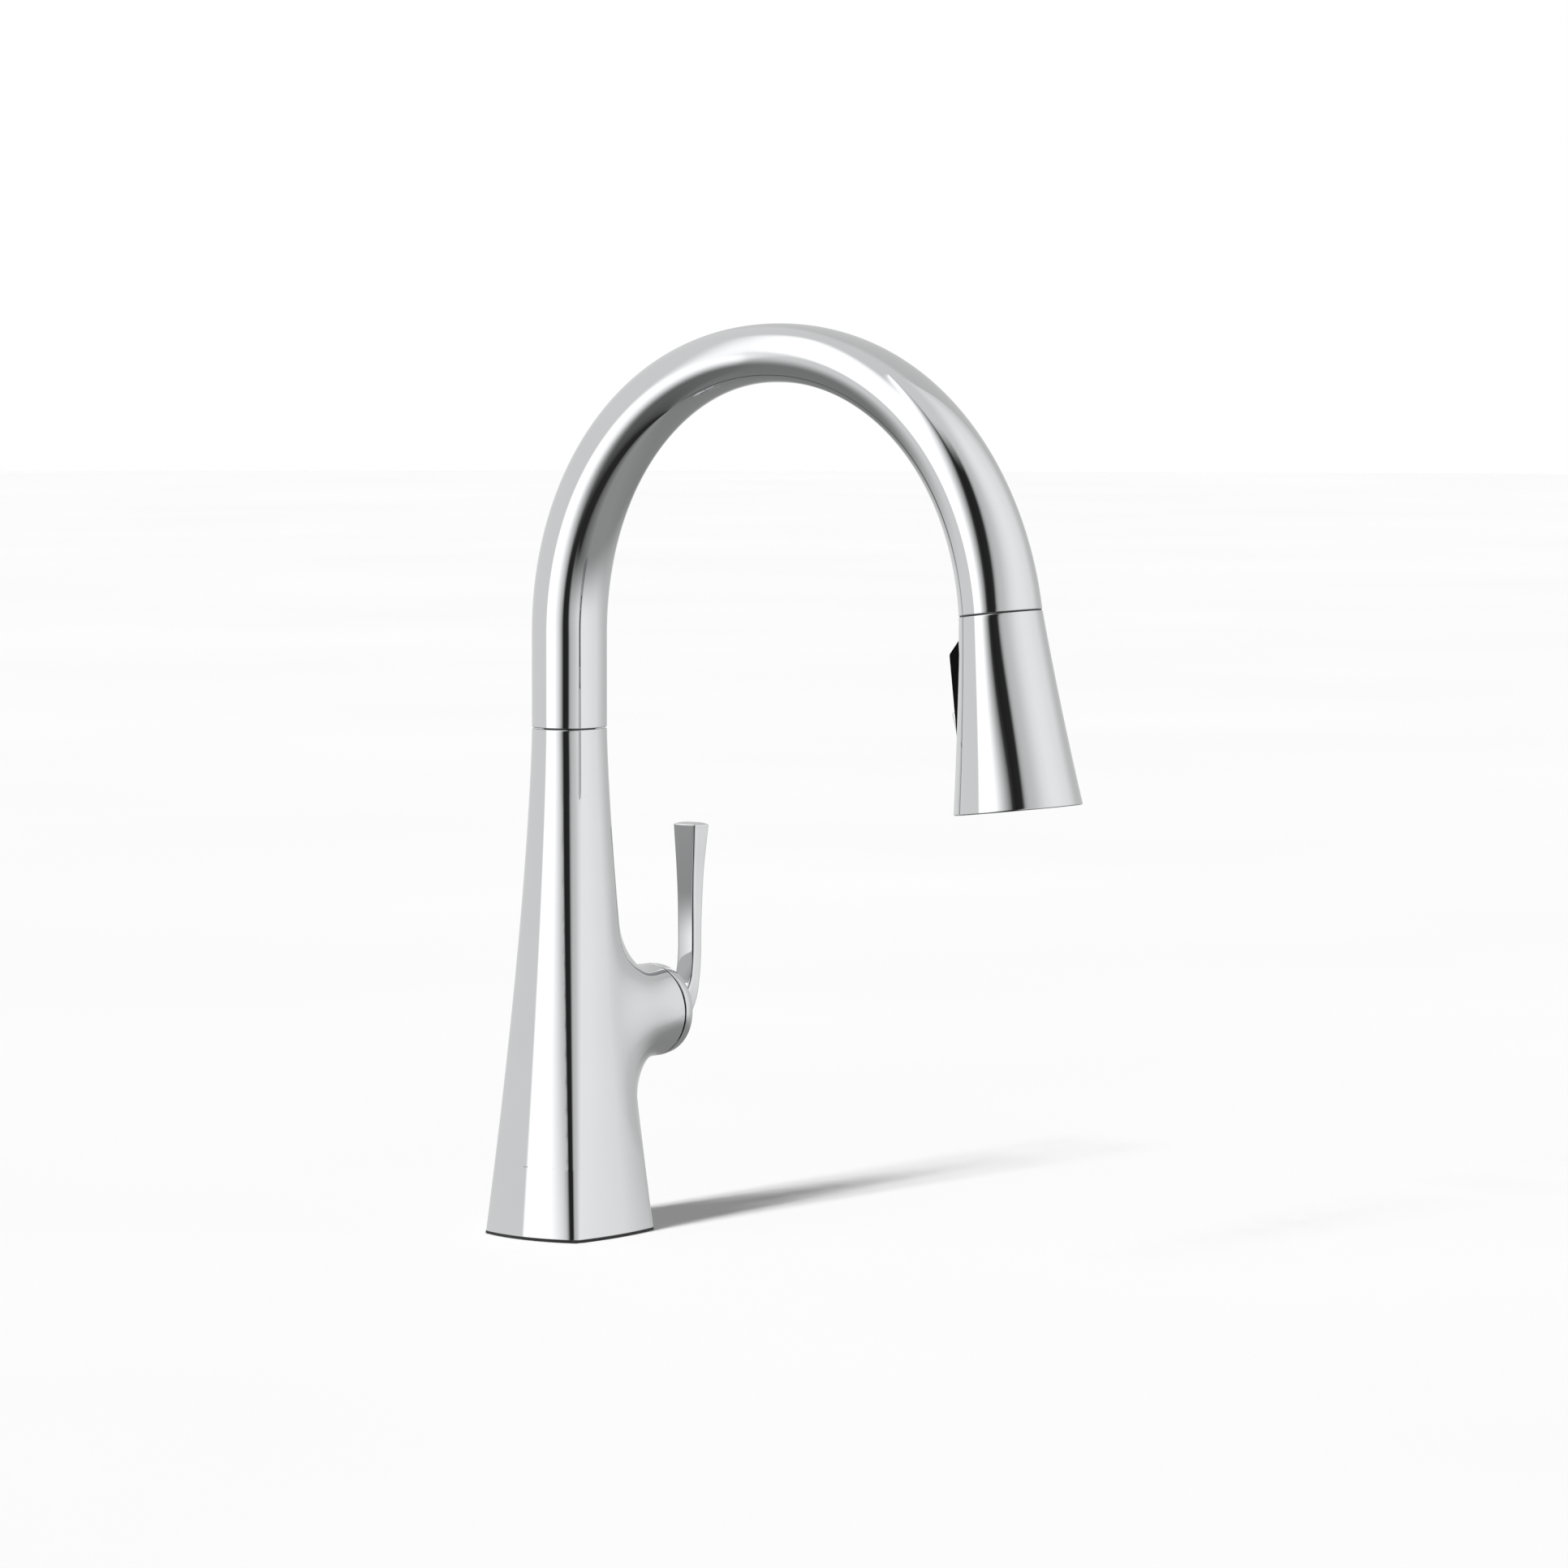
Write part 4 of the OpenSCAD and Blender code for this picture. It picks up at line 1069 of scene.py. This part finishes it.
def make_world():
    """A photo studio as a map of directions: a broad white box on the left, a black flag beside
    it and pale walls; light for the floor is even, and the backdrop is white."""
    gain, floor_light, backdrop, overhead = 1.36, 0.31, 1.0, 0.60
    box_edge, lean, eye_level = 142.0, 0.53, 2.0
    world = bpy.data.worlds.new("studio")
    bpy.context.scene.world = world
    world.use_nodes = True
    tree = world.node_tree
    back = next(n for n in tree.nodes if n.type == "BACKGROUND")

    def math_node(kind, a, b=None):
        node = tree.nodes.new("ShaderNodeMath")
        node.operation = kind
        for k, v in enumerate((a, b)):
            if v is None:
                continue
            if isinstance(v, (int, float)):
                node.inputs[k].default_value = v
            else:
                tree.links.new(v, node.inputs[k])
        return node.outputs["Value"]

    def fade(value, low, high):
        node = tree.nodes.new("ShaderNodeMapRange")
        node.interpolation_type = "SMOOTHSTEP"
        node.inputs["From Min"].default_value = low
        node.inputs["From Max"].default_value = high
        tree.links.new(value, node.inputs["Value"])
        return node.outputs["Result"]

    def wall(angle, stops):
        """Grey levels round the room; stops are (degrees, level) pairs."""
        return ramp(tree, math_node("DIVIDE", angle, 360.0),
                    [(a / 360.0, (v, v, v)) for a, v in stops])

    def blended(factor, a, b):
        node = tree.nodes.new("ShaderNodeMix")
        node.data_type = "RGBA"
        tree.links.new(factor, node.inputs["Factor"])
        ins = [s for s in node.inputs if s.type == "RGBA"]
        for socket, v in zip(ins, (a, b)):
            if isinstance(v, float):
                socket.default_value = (v, v, v, 1)
            else:
                tree.links.new(v, socket)
        return next(s for s in node.outputs if s.type == "RGBA")

    coords = tree.nodes.new("ShaderNodeTexCoord").outputs["Generated"]
    split = tree.nodes.new("ShaderNodeSeparateXYZ")
    tree.links.new(coords, split.inputs[0])
    x, y, z = split.outputs
    turn_back = math_node("ARCTAN2", math_node("MULTIPLY", y, -1.0), math_node("MULTIPLY", x, -1.0))
    azimuth = math_node("MULTIPLY", math_node("ADD", turn_back, math.pi), 180 / math.pi)
    elevation = math_node("MULTIPLY", math_node("ARCSINE", z), 180 / math.pi)
    # The flag and the box beside it lean
    leaned = math_node("SUBTRACT", azimuth,
                       math_node("MULTIPLY", math_node("SUBTRACT", elevation, eye_level), lean))
    side = wall(azimuth, [(0, 0.47), (40, 0.50), (60, 0.62), (136, 0.62), (360, 0.62)])
    front = wall(leaned, [(0, 1.12), (167, 1.12), (180, 0.62), (191, 0.26), (197, 0.035),
                          (204, 0.015), (223, 0.02), (226, 0.08), (229, 0.27), (234, 0.44),
                          (240, 0.50), (250, 0.55), (258, 0.63), (270, 0.75), (285, 0.82),
                          (300, 0.81), (325, 0.73), (345, 0.52), (360, 0.47)])
    # The box's left edge is sharp at eye level and softens upwards
    height = math_node("MAXIMUM", elevation, 0.0)
    edge = math_node("ADD", azimuth, math_node("MULTIPLY", height, 0.33))
    width = math_node("ADD", math_node("MULTIPLY", height, 0.3), 3.0)
    across = math_node("DIVIDE", math_node("SUBTRACT", edge, box_edge), width)
    upper = blended(fade(across, -0.5, 0.5), side, front)
    # Overhead is pale, except where the flag crosses it
    past_flag = math_node("SUBTRACT", 1.0, fade(azimuth, 224.0, 236.0))
    flag = math_node("MULTIPLY", fade(azimuth, 170.0, 190.0), past_flag)
    clear = math_node("SUBTRACT", 1.0, flag)
    ceiling = math_node("MULTIPLY", fade(elevation, 48.0, 70.0), clear)
    upper = blended(ceiling, upper, overhead)
    lower = wall(azimuth, [(0, 0.22), (60, 0.2), (135, 0.17), (142, 0.14), (180, 0.07),
                           (200, 0.02), (228, 0.02), (240, 0.12), (280, 0.26), (320, 0.26),
                           (360, 0.22)])
    # The walls end a few degrees below eye level, and three lower beneath the box and flag
    beneath = fade(azimuth, 125.0, 141.0)
    dusk = math_node("ADD", math_node("MULTIPLY", beneath, -3.0), -8.0)
    room = blended(fade(math_node("SUBTRACT", elevation, dusk), -16.0, 4.0), lower, upper)
    # Chrome returns only two thirds of the light, so the room is lit that much more
    lit = tree.nodes.new("ShaderNodeVectorMath")
    lit.operation = "SCALE"
    lit.inputs["Scale"].default_value = gain
    tree.links.new(room, lit.inputs[0])
    path = tree.nodes.new("ShaderNodeLightPath")
    even = blended(path.outputs["Is Diffuse Ray"], lit.outputs["Vector"], floor_light)
    shown = blended(path.outputs["Is Camera Ray"], even, backdrop)
    tree.links.new(shown, back.inputs["Color"])


make_world()


def make_key():
    """A tall soft light on the left, -X, as two fans of suns, for the shadow on the floor."""
    energy, spread_angle = 1.5, math.radians(3)
    # Heights above the horizon in degrees, with each sun's share of the light
    fan = ((30, 0.12), (36, 0.14), (42, 0.10), (46, 0.10), (50, 0.13), (54, 0.12), (59, 0.10),
           (65, 0.06), (72, 0.04))
    for height, share in fan:
        for turn in (-3.8, 1.0):
            light = bpy.data.lights.new(f"key_{height}", "SUN")
            light.energy = share * energy / math.sin(math.radians(height))
            light.angle = spread_angle
            lamp = bpy.data.objects.new(f"key_{height}", light)
            lamp.rotation_euler = (0, math.radians(height - 90), math.radians(turn))
            lamp.visible_glossy = False
            bpy.context.scene.collection.objects.link(lamp)


make_key()


def hide_shadows():
    """In the photo only the column and the handle cast a shadow, so the other pieces cast none."""
    bodies = ("spout", "spray_head", "hose_tip", "spray_key", "pause_key")
    pieces = ["spout_tube_skin", "spray_head_shell", "button_pad", "spray_key", "pause_key",
              "spray_hose_braid", "spray_hose_end"]
    for body in bodies:
        pieces += frame["record"]["behaviour"]["bodies"].get(body, [])
    for item in bpy.data.objects:
        if item.type == "MESH" and item.name in pieces:
            item.visible_shadow = False


hide_shadows()
